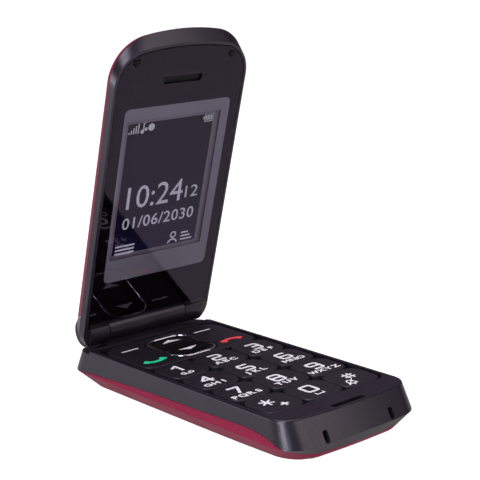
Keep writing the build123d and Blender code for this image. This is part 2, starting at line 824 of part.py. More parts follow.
# ================================================================ inside the base
def make_main_board():
    """Main circuit board with clipped corners."""
    with BuildPart() as board:
        block((-board_half, board_front, board_z), (board_half, board_rear, dome_z))
        chamfer(board.edges().filter_by(Axis.Z), 2.0)
    return board


def make_shield_cans():
    """Two tinplate cans on the board's underside, open towards it."""
    middle_y = (bay_rear + bay_wall + chassis_rear - rear_well_inset) / 2
    with BuildPart() as cans:
        for side in (-1, 1):
            middle = (side * can_spread, middle_y)
            soft_block(middle, (can_x, can_y), 0.6, board_z - can_height, board_z)
            soft_block(
                middle,
                (can_x - 2 * can_sheet, can_y - 2 * can_sheet),
                0.4,
                board_z - can_height + can_sheet,
                board_z,
                mode=Mode.SUBTRACT,
            )
    return cans


def make_battery():
    """Flat rechargeable battery in its bay."""
    with BuildPart() as battery:
        low = chassis_z + 0.2
        soft_block((0, battery_mid_y), (battery_x, battery_y), 1.2, low, low + battery_z)
        fillet(battery.faces().sort_by(Axis.Z)[0].edges(), 0.5)
    return battery


def make_battery_contacts():
    """Three sprung blades between the battery's end and the board."""
    with BuildPart() as contacts:
        for x in (-blade_pitch, 0, blade_pitch):
            low_x, high_x = x - blade_width / 2, x + blade_width / 2
            front, back = bay_rear + fit_clearance, bay_rear + fit_clearance + blade_thickness
            block((low_x, front, blade_low_z), (high_x, back, board_z))
            block((low_x, back, blade_low_z), (high_x, bay_rear + bay_wall, blade_low_z + blade_thickness))
    return contacts


def make_card_holder():
    """Sheet-metal holder for the subscriber card, open at its front end."""
    low, front, back = bay_top + 0.1, card_mid_y - card_y / 2, card_mid_y + card_y / 2
    inner = card_x / 2 - card_sheet
    with BuildPart() as holder:
        block((-card_x / 2, front, low), (card_x / 2, back, board_z))
        block(
            (-inner, front - 1, low + card_sheet), (inner, back - card_sheet, board_z), mode=Mode.SUBTRACT
        )
    return holder


def make_loudspeaker():
    """Loudspeaker capsule with a stepped rim."""
    step = sound_floor_z + speaker_depth * 0.6
    with BuildPart() as speaker:
        soft_block((0, speaker_y), (speaker_x_size, speaker_y_size), 2.5, sound_floor_z, step)
        soft_block(
            (0, speaker_y),
            (speaker_x_size - 2, speaker_y_size - 2),
            2.0,
            step,
            sound_floor_z + speaker_depth,
        )
    return speaker


def make_loudspeaker_mesh():
    """Fine mesh in the chassis opening under the loudspeaker."""
    top = sound_floor_z - 0.1
    with BuildPart() as mesh:
        soft_block(
            (0, speaker_y),
            (speaker_x_size - 2 * speaker_rim - 0.2, speaker_y_size - 2 * speaker_rim - 0.2),
            0.9,
            top - 0.2,
            top,
        )
    return mesh


def make_vibration_motor():
    """Sealed coin-shaped vibration motor on the chassis floor."""
    with BuildPart() as motor:
        disc((motor_x, speaker_y), motor_radius, sound_floor_z, sound_floor_z + motor_height)
        fillet(motor.faces().sort_by(Axis.Z)[-1].edges(), 0.4)
    return motor


def make_microphone():
    """Microphone capsule in its pocket behind the front slot."""
    with BuildPart() as microphone:
        disc((0, mic_y), mic_radius, shelf_z + 0.2, shelf_z + 0.2 + mic_height)
    return microphone


def make_charging_contacts():
    """Two plated charging contacts behind the end slots, each on a foot against the chassis."""
    front = rim_front + 0.1
    with BuildPart() as contacts:
        for side in (-1, 1):
            x = side * charge_slot_x
            block(
                (x - contact_width / 2, front, contact_foot_z),
                (x + contact_width / 2, front + contact_thickness, contact_top_z),
            )
            block(
                (x - contact_width / 2, front + contact_thickness, contact_foot_z),
                (x + contact_width / 2, chassis_front - 0.05, contact_foot_z + contact_thickness),
            )
    return contacts


def make_charging_socket():
    """Micro-size charging socket under the board's edge."""
    low_x = waist_half - cover_wall / 2 - usb_depth
    with BuildPart() as socket:
        soft_block((usb_y, usb_z), (usb_width, usb_height), 0.8, low_x, low_x + usb_depth, base=Plane.YZ)
        soft_block(
            (usb_y, usb_z),
            (usb_width - 2 * usb_wall, usb_height - 2 * usb_wall),
            0.5,
            low_x + 1,
            wide,
            base=Plane.YZ,
            mode=Mode.SUBTRACT,
        )
        block((low_x + 1, usb_y - 2.2, usb_z - 0.2), (low_x + usb_depth - 0.6, usb_y + 2.2, usb_z + 0.3))
    return socket


def make_base_screws():
    """Four screws that hold the chassis to the front housing."""
    with BuildPart() as screws:
        for spot in base_screw_spots:
            disc(spot, base_screw_head, base_head_z, base_head_z + base_head_height)
            disc(spot, base_screw_shank, base_head_z + base_head_height, base_head_z + base_screw_length)
            block(
                (spot[0] - 1.0, spot[1] - 0.2, base_head_z),
                (spot[0] + 1.0, spot[1] + 0.2, base_head_z + 0.4),
                mode=Mode.SUBTRACT,
            )
    return screws


def make_antenna():
    """Flat antenna on the chassis's front end."""
    with BuildPart() as antenna:
        block(
            (-antenna_x / 2, chassis_front + 0.3, chassis_top),
            (antenna_x / 2, board_front - 0.6, chassis_top + antenna_thickness),
        )
        for x in (-antenna_x / 3.2, 0, antenna_x / 3.2):
            block((x - 1.5, chassis_front + 0.2, 0), (x + 1.5, chassis_front + 2.4, wide), mode=Mode.SUBTRACT)
    return antenna


def make_volume_rocker():
    """Volume rocker in its recess on the right side."""
    with BuildPart() as rocker:
        soft_block(
            (volume_y, volume_z),
            (volume_length, volume_height),
            volume_height * 0.45,
            volume_back_x,
            volume_face_x,
            base=Plane.YZ,
        )
        fillet(rocker.faces().sort_by(Axis.X)[-1].edges(), 0.3)
    return rocker


def make_assistance_button():
    """Round assistance button in the back, sunk below the rest face, with its stem."""
    top = sos_face_z + sos_thickness
    with BuildPart() as button:
        disc((0, sos_y), sos_radius, sos_face_z, top)
        fillet(button.faces().sort_by(Axis.Z)[0].edges(), 0.35)
        disc((0, sos_y), sos_stem_radius, top, board_z - sos_gap)
    return button


# ================================================================ hinge
def make_hinge_case():
    """Steel case of the spring-and-cam unit, a cup pressed into the barrel."""
    with BuildPart() as case:
        disc((0, 0), barrel_bore - fit_clearance, case_start, barrel_half - 0.2, base=hinge_line)
        disc(
            (0, 0), barrel_bore - fit_clearance - case_wall, case_start + case_wall, wide,
            base=hinge_line, mode=Mode.SUBTRACT,
        )
    return case


def make_hinge_spring():
    """Coil spring that pushes the follower against the cam."""
    with BuildPart() as spring:
        with BuildLine() as path:
            Helix(
                spring_pitch,
                spring_pitch * spring_turns,
                case_bore - spring_wire - 0.15,
                center=(spring_start_x, hinge_y, hinge_z),
                direction=(1, 0, 0),
            )
        with BuildSketch(Plane(origin=path.line @ 0, z_dir=path.line % 0)):
            Circle(spring_wire)
        sweep(path=path.line, is_frenet=True)
    return spring


def make_hinge_follower():
    """Sliding follower with a groove that the cam's ridge drops into at the stops."""
    with BuildPart() as follower:
        disc((0, 0), case_bore - 0.06, follower_face_x - follower_length, follower_face_x, base=hinge_line)
        block(
            (-wide, -0.45, follower_face_x - 0.35), (wide, 0.45, wide), base=hinge_line, mode=Mode.SUBTRACT
        )
    return follower


def make_hinge_cam():
    """Cam that turns with the lid: ridged disc and the flatted key that fits the right knuckle."""
    with BuildPart() as cam:
        disc((0, 0), case_bore - 0.06, cam_face_x, cam_end_x, base=hinge_line)
        with BuildSketch(hinge_line.offset(cam_face_x - 0.35)) as ridge:
            Circle(case_bore - 0.3)
            Rectangle(2 * case_bore, 0.7, mode=Mode.INTERSECT)
        extrude(ridge.sketch, amount=0.35)
        with BuildSketch(lid_side.offset(cam_end_x)) as key:
            Circle(key_round)
            Rectangle(2 * key_round, key_flat, mode=Mode.INTERSECT)
        extrude(key.sketch, amount=key_length + knuckle_gap)
    return cam


def make_hinge_bush():
    """Plain bush in the barrel's left end."""
    with BuildPart() as bush:
        bush_start = 0.2 - barrel_half
        disc((0, 0), barrel_bore - fit_clearance, bush_start, bush_start + bush_length, base=hinge_line)
        disc((0, 0), pin_radius + fit_clearance, -wide, wide, base=hinge_line, mode=Mode.SUBTRACT)
    return bush


def make_hinge_pin():
    """Pin fixed in the left knuckle that turns in the bush."""
    with BuildPart() as pin:
        disc((0, 0), pin_radius, pin_end_x - pin_length, pin_end_x, base=hinge_line)
        chamfer(pin.edges().sort_by(Axis.X)[-1], 0.3)
    return pin


def make_base_flex():
    """Flexible cable rolled round the hinge axis, its tail led down to the board."""
    low, high = flex_x - flex_width / 2, flex_x + flex_width / 2
    tail_y = hinge_y - flex_roll
    with BuildPart() as flex:
        disc((0, 0), flex_roll, low, high, base=hinge_line)
        disc((0, 0), flex_roll - flex_thickness, low, high, base=hinge_line, mode=Mode.SUBTRACT)
        block((low, tail_y, dome_z + 0.05), (high, tail_y + flex_thickness, hinge_z))
        block((low, board_rear - 1.2, dome_z + 0.05), (high, tail_y, dome_z + 0.05 + flex_thickness))
    return flex


# ================================================================ lid
lid_outer = lid_form(0)


def lens_outline(inset):
    """Outline of the lens, or of its recess where inset is negative."""
    return crowned_outline(
        lid_rim_half - lens_margin - inset,
        lid_rim_top - lens_margin - inset,
        lens_low + inset,
        lid_rim_crown,
        lid_rim_corner - lens_margin - inset,
        0.6,
    )


def cut_ear_slot(low, high):
    """Cut the sound slot with its slanted ends between two depths of the lid."""
    with BuildSketch(lid_plane.offset(low)) as slot:
        with BuildLine():
            Polyline(
                (-ear_narrow, ear_low),
                (ear_narrow, ear_low),
                (ear_wide, ear_high),
                (-ear_wide, ear_high),
                close=True,
            )
        make_face()
        fillet(slot.vertices(), ear_corner)
    extrude(slot.sketch, amount=high - low, mode=Mode.SUBTRACT)


def cut_front_openings():
    """Cut the sound slot, the bumpers' holes and the barrel's room from the lens or the film behind it."""
    cut_ear_slot(0, wide)
    for side in (-1, 1):
        spot = (side * bumper_x, bumper_v)
        disc(spot, bumper_radius + 0.15, 0, wide, base=lid_plane, mode=Mode.SUBTRACT)
    disc((0, 0), barrel_radius + knuckle_gap, -wide, wide, base=hinge_line, mode=Mode.SUBTRACT)


def make_lid_frame():
    """Black lid frame: sloping band, lens recess, face plate, outer knuckles and heel."""
    share = lid_share(seam_gap / 2, False)
    with BuildPart() as frame:
        add(lid_outer)
        add(share, mode=Mode.INTERSECT)
        with BuildSketch(lid_plane.offset(mask_back_w)):
            add(lens_outline(-lens_gap))
        extrude(amount=wide, mode=Mode.SUBTRACT)
        with BuildSketch(lid_plane.offset(plate_back_w)):
            add(crowned_outline(pocket_half, pocket_high, pocket_low, 1.0, pocket_corner, 2.0))
        extrude(amount=-wide, mode=Mode.SUBTRACT)
        # outer knuckles
        for side in (-1, 1):
            start, end = sorted((side * (barrel_half + knuckle_gap), side * knuckle_end))
            disc((0, 0), barrel_radius, start, end, base=hinge_line)
        # display window, sound slot and the seat of its mesh
        soft_block(
            (0, (window_low + window_high) / 2),
            (2 * window_half + 0.8, window_high - window_low + 0.8),
            0.8,
            plate_back_w - 1,
            wide,
            base=lid_plane,
            mode=Mode.SUBTRACT,
        )
        cut_ear_slot(plate_back_w - 1, wide)
        soft_block(
            (0, (ear_low + ear_high) / 2),
            (2 * (ear_wide + ear_mesh_margin) + 0.1, ear_high - ear_low + 2 * ear_mesh_margin + 0.1),
            0.5,
            mask_back_w - ear_mesh_thickness - 0.05,
            wide,
            base=lid_plane,
            mode=Mode.SUBTRACT,
        )
        # screw pads, counterbores and holes
        for spot in lid_screw_spots:
            pad_back_w = lid_boss_front_w + 0.1
            disc(spot, lid_boss_radius + 0.1, -wide, pad_back_w, base=lid_plane, mode=Mode.SUBTRACT)
            disc(spot, lid_boss_radius, pad_back_w, mask_back_w, base=lid_plane)
            disc(spot, lid_screw_head + 0.1, plate_back_w, wide, base=lid_plane, mode=Mode.SUBTRACT)
            disc(spot, lid_screw_shank + 0.15, -wide, wide, base=lid_plane, mode=Mode.SUBTRACT)
        # room for the base's barrel, and the sockets of the pin and the cam
        add(centre_cut(barrel_half + knuckle_gap, knuckle_gap, shell_start_v - 0.4), mode=Mode.SUBTRACT)
        pin_hole = pin_end_x - pin_length - 0.1
        disc((0, 0), pin_radius + fit_clearance, pin_hole, 0, base=hinge_line, mode=Mode.SUBTRACT)
        with BuildSketch(lid_side.offset(barrel_half)) as socket:
            Circle(key_round + fit_clearance)
            Rectangle(2 * key_round + 1, key_flat + 2 * fit_clearance, mode=Mode.INTERSECT)
        extrude(socket.sketch, amount=key_length, mode=Mode.SUBTRACT)
    return frame


def make_shell_bosses():
    """The four screw bosses, rooted in the shell's skin."""
    with BuildPart() as bosses:
        for spot in lid_screw_spots:
            disc(spot, lid_boss_radius, back_deep_w, lid_boss_front_w, base=lid_plane)
        add(lid_outer, mode=Mode.INTERSECT)
    return bosses.part


def make_lid_shell():
    """Coloured lid shell: a crowned skin behind the band, with its screw bosses."""
    share = lid_share(-seam_gap / 2, True)
    inside = lid_form(shell_wall)
    with BuildPart() as shell:
        add(lid_outer)
        add(share, mode=Mode.INTERSECT)
        add(inside, mode=Mode.SUBTRACT)
        add(centre_cut(barrel_half + knuckle_gap, knuckle_gap, shell_start_v), mode=Mode.SUBTRACT)
        add(make_shell_bosses())
        for spot in lid_screw_spots:
            disc(spot, lid_screw_shank + fit_clearance, -2.0, wide, base=lid_plane, mode=Mode.SUBTRACT)
    return shell


def make_lens():
    """Clear lens over the whole inner face, with the sound slot and holes for the bumpers."""
    with BuildPart() as lens:
        with BuildSketch(lid_plane.offset(lens_back_w)):
            add(lens_outline(0))
        extrude(amount=lens_thickness)
        chamfer(lens.faces().sort_by_distance(lid_plane.offset(wide).origin)[0].edges(), lens_edge)
        cut_front_openings()
    return lens


def make_mask():
    """Printed film behind the lens with the display window left open."""
    with BuildPart() as mask:
        with BuildSketch(lid_plane.offset(mask_back_w)):
            add(lens_outline(lens_gap))
        extrude(amount=mask_thickness)
        soft_block(
            (0, (window_low + window_high) / 2),
            (2 * window_half, window_high - window_low),
            0.6,
            0,
            wide,
            base=lid_plane,
            mode=Mode.SUBTRACT,
        )
        cut_front_openings()
    return mask


def make_display_bezel():
    """Metal frame of the display module, open behind, with a lip round the picture."""
    middle = (0, (lcd_low + lcd_high) / 2)
    with BuildPart() as bezel:
        soft_block(middle, (2 * lcd_half, lcd_high - lcd_low), 0.8, lcd_back_w, lcd_front_w, base=lid_plane)
        soft_block(
            middle,
            (2 * (lcd_half - lcd_wall), lcd_high - lcd_low - 2 * lcd_wall),
            0.4,
            lcd_back_w,
            lcd_front_w - lcd_lip,
            base=lid_plane,
            mode=Mode.SUBTRACT,
        )
        low_corner, high_corner = (-active_half, active_low, 0), (active_half, active_high, wide)
        block(low_corner, high_corner, base=lid_plane, mode=Mode.SUBTRACT)
    return bezel


def make_display_panel():
    """Display glass with its light guide, inside the metal frame."""
    shrink = 2 * (lcd_wall + fit_clearance)
    with BuildPart() as panel:
        soft_block(
            (0, (lcd_low + lcd_high) / 2),
            (2 * lcd_half - shrink, lcd_high - lcd_low - shrink),
            0.4,
            lcd_back_w,
            lcd_front_w - lcd_lip,
            base=lid_plane,
        )
    return panel


def make_lid_board():
    """Small circuit board behind the display."""
    with BuildPart() as board:
        soft_block(
            (0, (lid_board_low + lid_board_high) / 2),
            (2 * lid_board_half, lid_board_high - lid_board_low),
            1.0,
            lcd_back_w - lid_board_thickness,
            lcd_back_w,
            base=lid_plane,
        )
    return board


def make_lid_flex():
    """Flexible cable's lid end, lying on the back of the lid board."""
    back = lcd_back_w - lid_board_thickness
    with BuildPart() as flex:
        block(
            (flex_x - flex_width / 2, pocket_low + 0.3, back - flex_thickness),
            (flex_x + flex_width / 2, lid_board_low + 3, back),
            base=lid_plane,
        )
    return flex


def make_receiver():
    """Earpiece capsule behind the sound slot."""
    with BuildPart() as receiver:
        soft_block(
            (0, (ear_low + ear_high) / 2),
            (receiver_x, receiver_v),
            2.0,
            plate_back_w - receiver_depth,
            plate_back_w,
            base=lid_plane,
        )
    return receiver


def make_ear_mesh():
    """Fine mesh across the sound slot."""
    with BuildPart() as mesh:
        soft_block(
            (0, (ear_low + ear_high) / 2),
            (2 * (ear_wide + ear_mesh_margin), ear_high - ear_low + 2 * ear_mesh_margin),
            0.5,
            mask_back_w - ear_mesh_thickness,
            mask_back_w,
            base=lid_plane,
        )
    return mesh


def make_lid_magnet():
    """Magnet that tells the base when the lid is shut."""
    with BuildPart() as magnet:
        disc((magnet_x, magnet_v), magnet_size / 2, plate_back_w - magnet_depth, plate_back_w, base=lid_plane)
    return magnet


def make_bumpers():
    """Two rubber bumpers near the lid's top corners, over the upper screws."""
    with BuildPart() as bumpers:
        for side in (-1, 1):
            disc(
                (side * bumper_x, bumper_v), bumper_radius, mask_back_w + 0.05, lens_face_w + bumper_proud,
                base=lid_plane,
            )
        fillet(bumpers.faces().group_by(Axis(hinge_point, lid_plane.z_dir))[-1].edges(), 0.3)
    return bumpers


def make_lid_screws():
    """Four screws that hold the lid's shell to its frame."""
    with BuildPart() as screws:
        for spot in lid_screw_spots:
            disc(spot, lid_screw_head, plate_back_w, plate_back_w + lid_head_height - 0.05, base=lid_plane)
            disc(spot, lid_screw_shank, plate_back_w - lid_screw_length, plate_back_w, base=lid_plane)
            top = plate_back_w + lid_head_height
            block(
                (spot[0] - 0.9, spot[1] - 0.2, top - 0.4),
                (spot[0] + 0.9, spot[1] + 0.2, top),
                base=lid_plane,
                mode=Mode.SUBTRACT,
            )
    return screws


# ================================================================ build and write every piece
key_names = [["key_1", "key_2", "key_3"], ["key_4", "key_5", "key_6"], ["key_7", "key_8", "key_9"],
             ["key_star", "key_0", "key_hash"]]
for row, names in enumerate(key_names):
    for column, name in enumerate(names):
        keep(make_key((column - 1) * key_pitch_x, key_field_top - (row + 0.5) * key_pitch_y), name)

pieces = {
    "base_front_housing": make_front_housing,
    "battery_cover": make_cover,
    "base_rear_chassis": make_chassis,
    "navigation_ring": make_navigation_ring,
    "navigation_pad": make_navigation_pad,
    "keypad_frame": make_keypad_frame,
    "keypad_mat": make_keypad_mat,
    "dome_sheet": make_dome_sheet,
    "main_board": make_main_board,
    "shield_cans": make_shield_cans,
    "battery": make_battery,
    "battery_contacts": make_battery_contacts,
    "card_holder": make_card_holder,
    "loudspeaker": make_loudspeaker,
    "loudspeaker_mesh": make_loudspeaker_mesh,
    "vibration_motor": make_vibration_motor,
    "microphone": make_microphone,
    "charging_contacts": make_charging_contacts,
    "charging_socket": make_charging_socket,
    "base_screws": make_base_screws,
    "antenna": make_antenna,
    "volume_rocker": make_volume_rocker,
    "assistance_button": make_assistance_button,
    "hinge_case": make_hinge_case,
    "hinge_spring": make_hinge_spring,
    "hinge_follower": make_hinge_follower,
    "hinge_cam": make_hinge_cam,
    "hinge_bush": make_hinge_bush,
    "hinge_pin": make_hinge_pin,
    "base_flex": make_base_flex,
    "lid_inner_frame": make_lid_frame,
    "lid_outer_shell": make_lid_shell,
    "display_lens": make_lens,
    "display_mask": make_mask,
    "display_bezel": make_display_bezel,
    "display_panel": make_display_panel,
    "lid_board": make_lid_board,
    "lid_flex": make_lid_flex,
    "earpiece": make_receiver,
    "earpiece_mesh": make_ear_mesh,
    "lid_magnet": make_lid_magnet,
    "lid_bumpers": make_bumpers,
    "lid_screws": make_lid_screws,
}
for name, make in pieces.items():
    keep(make(), name)
keep(make_command_key(-1), "left_command_key")
keep(make_command_key(1), "right_command_key")
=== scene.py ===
"""Looks of a large-key clamshell handset: finishes, printed legends, lit screen and studio.

All sizes in the classes are in millimetres of the row frame and are turned to metres where a mesh is made.
Only the lamps are placed in metres.
"""

import logging
from dataclasses import dataclass, field
from enum import Enum
from math import cos, hypot, pi, radians, sin
from typing import Sequence

import bmesh
import bpy
from mathutils import Matrix, Vector
from mathutils.geometry import delaunay_2d_cdt


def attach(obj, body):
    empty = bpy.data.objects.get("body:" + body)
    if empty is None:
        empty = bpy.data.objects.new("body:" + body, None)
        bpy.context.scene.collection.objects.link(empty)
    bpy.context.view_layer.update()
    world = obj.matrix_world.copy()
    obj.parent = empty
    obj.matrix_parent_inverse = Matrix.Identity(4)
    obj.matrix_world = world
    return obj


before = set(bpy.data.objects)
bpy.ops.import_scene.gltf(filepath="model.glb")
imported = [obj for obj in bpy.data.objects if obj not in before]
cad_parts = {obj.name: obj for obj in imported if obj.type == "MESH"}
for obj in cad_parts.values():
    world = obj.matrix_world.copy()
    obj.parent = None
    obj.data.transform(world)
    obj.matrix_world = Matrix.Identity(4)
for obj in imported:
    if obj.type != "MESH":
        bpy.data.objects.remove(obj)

LOG = logging.getLogger("handset")
MM = 0.001
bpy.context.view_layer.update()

# most noise values lie in the first span, and a mix of two tones runs over the second
NOISE_SPAN = (0.3, 0.7)
MIX_SPAN = (0.35, 0.65)
# height of a capital in the font's own size
CAPITAL_SHARE = 0.73
# points nearer than this, in millimetres, are one point
TOUCHING = 1e-5
# a triangle with less than this for twice its area, in square millimetres, is only a line
THINNEST = 1e-7
# the most of its side that a soft corner takes
CORNER_SHARE = 0.45

Point = tuple[float, float]
Place = tuple[float, float, float]
Colour = tuple[float, float, float, float]
Input = str | int
Tree = bpy.types.NodeTree
Node = bpy.types.Node
Settings = dict[Input, object]
Links = dict[Input, Node | bpy.types.NodeSocket]

# node types that several finishes use
NOISE = "ShaderNodeTexNoise"
CELLS = "ShaderNodeTexVoronoi"
RAMP = "ShaderNodeValToRGB"
RANGE = "ShaderNodeMapRange"
BUMP = "ShaderNodeBump"
SURFACE = "ShaderNodeBsdfPrincipled"


# ---------------- small helpers
def linear(code: str) -> Colour:
    """Turn an sRGB hex value into linear colour.

    Args:
        code: six hex digits with a leading hash.

    Returns:
        Linear red, green, blue and an alpha of one.
    """
    parts = [int(code[i : i + 2], 16) / 255 for i in (1, 3, 5)]
    flat = [c / 12.92 if c <= 0.04045 else ((c + 0.055) / 1.055) ** 2.4 for c in parts]
    return (flat[0], flat[1], flat[2], 1.0)


def add_node(tree: Tree, kind: str, settings: Settings | None = None, links: Links | None = None) -> Node:
    """Add a node with its settings and its links.

    Args:
        tree: the node tree that gets the node.
        kind: Blender's name of the node type.
        settings: values by input name, input number or node property, or a ramp's stops.
        links: sources by input name or number, each a socket or a node for its first output.

    Returns:
        The new node.
    """
    node = tree.nodes.new(kind)
    for key, value in (settings or {}).items():
        if isinstance(key, int) or key in node.inputs:
            node.inputs[key].default_value = value
        elif key == "stops":
            for stop, (position, colour) in zip(node.color_ramp.elements, value):
                stop.position, stop.color = position, linear(colour)
        else:
            setattr(node, key, value)
    for key, source in (links or {}).items():
        tree.links.new(source.outputs[0] if isinstance(source, Node) else source, node.inputs[key])
    return node


def add_object(name: str, data: bpy.types.ID) -> bpy.types.Object:
    """Make an object and link it to the scene."""
    made = bpy.data.objects.new(name, data)
    bpy.context.scene.collection.objects.link(made)
    return made


def scale(size_mm: float) -> Settings:
    """Texture setting whose features are about size_mm across."""
    return {"Scale": 1.0 / (size_mm * MM)}


def tones(dark: str, light: str) -> Settings:
    """Ramp setting that mixes two sRGB colours by a noise value."""
    return {"stops": tuple(zip(MIX_SPAN, (dark, light)))}


def spread(middle: float, by: float) -> Settings:
    """Range settings that let a noise value vary a number by some to either side."""
    low, high = NOISE_SPAN
    return {"From Min": low, "From Max": high, "To Min": middle - by, "To Max": middle + by}


# ---------------- finishes
@dataclass(frozen=True)
class Finish:
    """A finish that is built once and shared by the pieces that have it."""

    name: str

    def material(self) -> bpy.types.Material:
        """The Blender material of this finish, made on first use."""
        known = bpy.data.materials.get(self.name)
        if known is not None:
            return known
        made = bpy.data.materials.new(self.name)
        made.use_nodes = True
        tree = made.node_tree
        tree.nodes.clear()
        place = add_node(tree, "ShaderNodeTexCoord").outputs["Object"]
        shader = self.shader(tree, {"Vector": place})
        add_node(tree, "ShaderNodeOutputMaterial", links={"Surface": shader})
        return made

    def shader(self, tree: Tree, place: Links) -> Node:
        """Build the nodes.

        Args:
            tree: the material's node tree.
            place: link to the piece's own coordinates.

        Returns:
            The node that the surface takes.
        """
        raise NotImplementedError

    def dress(self, *pieces: bpy.types.Object) -> None:
        """Give the finish to pieces as their only material."""
        for piece in pieces:
            piece.data.materials.clear()
            piece.data.materials.append(self.material())


@dataclass(frozen=True)
class Moulded(Finish):
    """Injection-moulded or coated plastic: near-even colour, satin gloss and a fine tool texture."""

    dark: str
    light: str
    rough: float
    rough_spread: float = 0.05
    grain_mm: float = 0.35
    grain_depth_mm: float = 0.004
    grain_detail: float = 3.0
    grain_strength: float = 0.5
    blotch_mm: float = 9.0
    ior: float = 1.54
    specular: float = 0.5

    def shader(self, tree: Tree, place: Links) -> Node:
        """Principled shader with blotched colour and roughness over a fine bump."""
        blotch = add_node(tree, NOISE, scale(self.blotch_mm), place)
        grain = add_node(tree, NOISE, scale(self.grain_mm) | {"Detail": self.grain_detail}, place)
        relief = {"Strength": self.grain_strength, "Distance": self.grain_depth_mm * MM}
        return add_node(
            tree,
            SURFACE,
            {"IOR": self.ior, "Specular IOR Level": self.specular},
            {
                "Base Color": add_node(tree, RAMP, tones(self.dark, self.light), {"Fac": blotch}),
                "Roughness": add_node(tree, RANGE, spread(self.rough, self.rough_spread), {"Value": grain}),
                "Normal": add_node(tree, BUMP, relief, {"Height": grain}),
            },
        )


@dataclass(frozen=True)
class FlakeLacquer(Finish):
    """Satin lacquer with aluminium flake, which is drawn some six times coarser than real to show."""

    base: str = "#822139"
    flake: str = "#963148"
    rough: float = 0.42
    rough_spread: float = 0.04
    flake_mm: float = 0.18
    cloud_mm: float = 14.0
    metal_share: float = 0.12
    ior: float = 1.5
    specular: float = 0.05

    def shader(self, tree: Tree, place: Links) -> Node:
        """Principled shader with speckled colour, part metallic, and clouded roughness."""
        cells = add_node(tree, CELLS, scale(self.flake_mm), place)
        cloud = add_node(tree, NOISE, scale(self.cloud_mm), place)
        speckle = add_node(tree, "ShaderNodeSeparateColor", links={"Color": cells.outputs["Color"]})
        return add_node(
            tree,
            SURFACE,
            {"IOR": self.ior, "Metallic": self.metal_share, "Specular IOR Level": self.specular},
            {
                "Base Color": add_node(tree, RAMP, tones(self.base, self.flake), {"Fac": speckle}),
                "Roughness": add_node(tree, RANGE, spread(self.rough, self.rough_spread), {"Value": cloud}),
            },
        )


@dataclass(frozen=True)
class Metal(Finish):
    """Bare or plated metal, with shallow drawing marks that are coarser than real to show."""

    dark: str
    light: str
    rough: float
    rough_share: float = 0.2
    mark_mm: float = 0.3
    mark_depth_mm: float = 0.002
    mark_strength: float = 0.4
    drawn_out: float = 0.15

    def shader(self, tree: Tree, place: Links) -> Node:
        """Metallic Principled shader with streaked roughness."""
        drawn = add_node(tree, "ShaderNodeMapping", {"Scale": (self.drawn_out, 1.0, 1.0)}, place)
        marks = add_node(tree, NOISE, scale(self.mark_mm), {"Vector": drawn})
        relief = {"Strength": self.mark_strength, "Distance": self.mark_depth_mm * MM}
        gloss = spread(self.rough, self.rough * self.rough_share)
        return add_node(
            tree,
            SURFACE,
            {"Metallic": 1.0},
            {
                "Base Color": add_node(tree, RAMP, tones(self.dark, self.light), {"Fac": marks}),
                "Roughness": add_node(tree, RANGE, gloss, {"Value": marks}),
                "Normal": add_node(tree, BUMP, relief, {"Height": marks}),
            },
        )


@dataclass(frozen=True)
class ClearAcrylic(Finish):
    """Cast acrylic with a hard coat: clear and flat, so that it mirrors the keys like dark water."""

    tint: str = "#e6e4e7"
    cloudy_tint: str = "#e2e0e3"
    cloud_mm: float = 22.0
    ior: float = 1.49
    mirror_tint: str = "#8a7f8f"
    mirror_rough: float = 0.01
    mirror_share: float = 0.3

    def shader(self, tree: Tree, place: Links) -> Node:
        """See-through film with a mirror on top that grows at flat angles."""
        cloud = add_node(tree, NOISE, scale(self.cloud_mm), place)
        tint = add_node(tree, RAMP, tones(self.cloudy_tint, self.tint), {"Fac": cloud})
        clear = add_node(tree, "ShaderNodeBsdfTransparent", links={"Color": tint})
        polish = {"Base Color": linear(self.mirror_tint), "Metallic": 1.0, "Roughness": self.mirror_rough}
        mirror = add_node(tree, SURFACE, polish)
        # only the outer side mirrors, and more than bare acrylic would; light on its way out passes through
        edge = add_node(tree, "ShaderNodeFresnel", {"IOR": self.ior})
        raised = add_node(tree, RANGE, {"From Max": self.mirror_share}, {"Value": edge})
        inner = add_node(tree, "ShaderNodeNewGeometry").outputs["Backfacing"]
        # the mix's input 0 is its factor, 2 and 3 are its numbers
        outer = add_node(tree, "ShaderNodeMix", {3: 0.0}, {0: inner, 2: raised})
        return add_node(tree, "ShaderNodeMixShader", links={0: outer, 1: clear, 2: mirror})


@dataclass(frozen=True)
class PrintedInk(Finish):
    """Screen-printed ink: flat colour with the faint mottle of a mesh, coarser than real to show."""

    dark: str
    light: str
    rough: float = 0.45
    rough_spread: float = 0.05
    mottle_mm: float = 0.3
    glow: float = 0.0
    ior: float = 1.5
    specular: float = 0.5

    def shader(self, tree: Tree, place: Links) -> Node:
        """Principled shader with mottled colour, lit from behind where glow is set."""
        mottle = add_node(tree, NOISE, scale(self.mottle_mm), place)
        gloss = {"IOR": self.ior, "Specular IOR Level": self.specular}
        return add_node(
            tree,
            SURFACE,
            gloss | {"Emission Color": linear(self.light), "Emission Strength": self.glow},
            {
                "Base Color": add_node(tree, RAMP, tones(self.dark, self.light), {"Fac": mottle}),
                "Roughness": add_node(tree, RANGE, spread(self.rough, self.rough_spread), {"Value": mottle}),
            },
        )


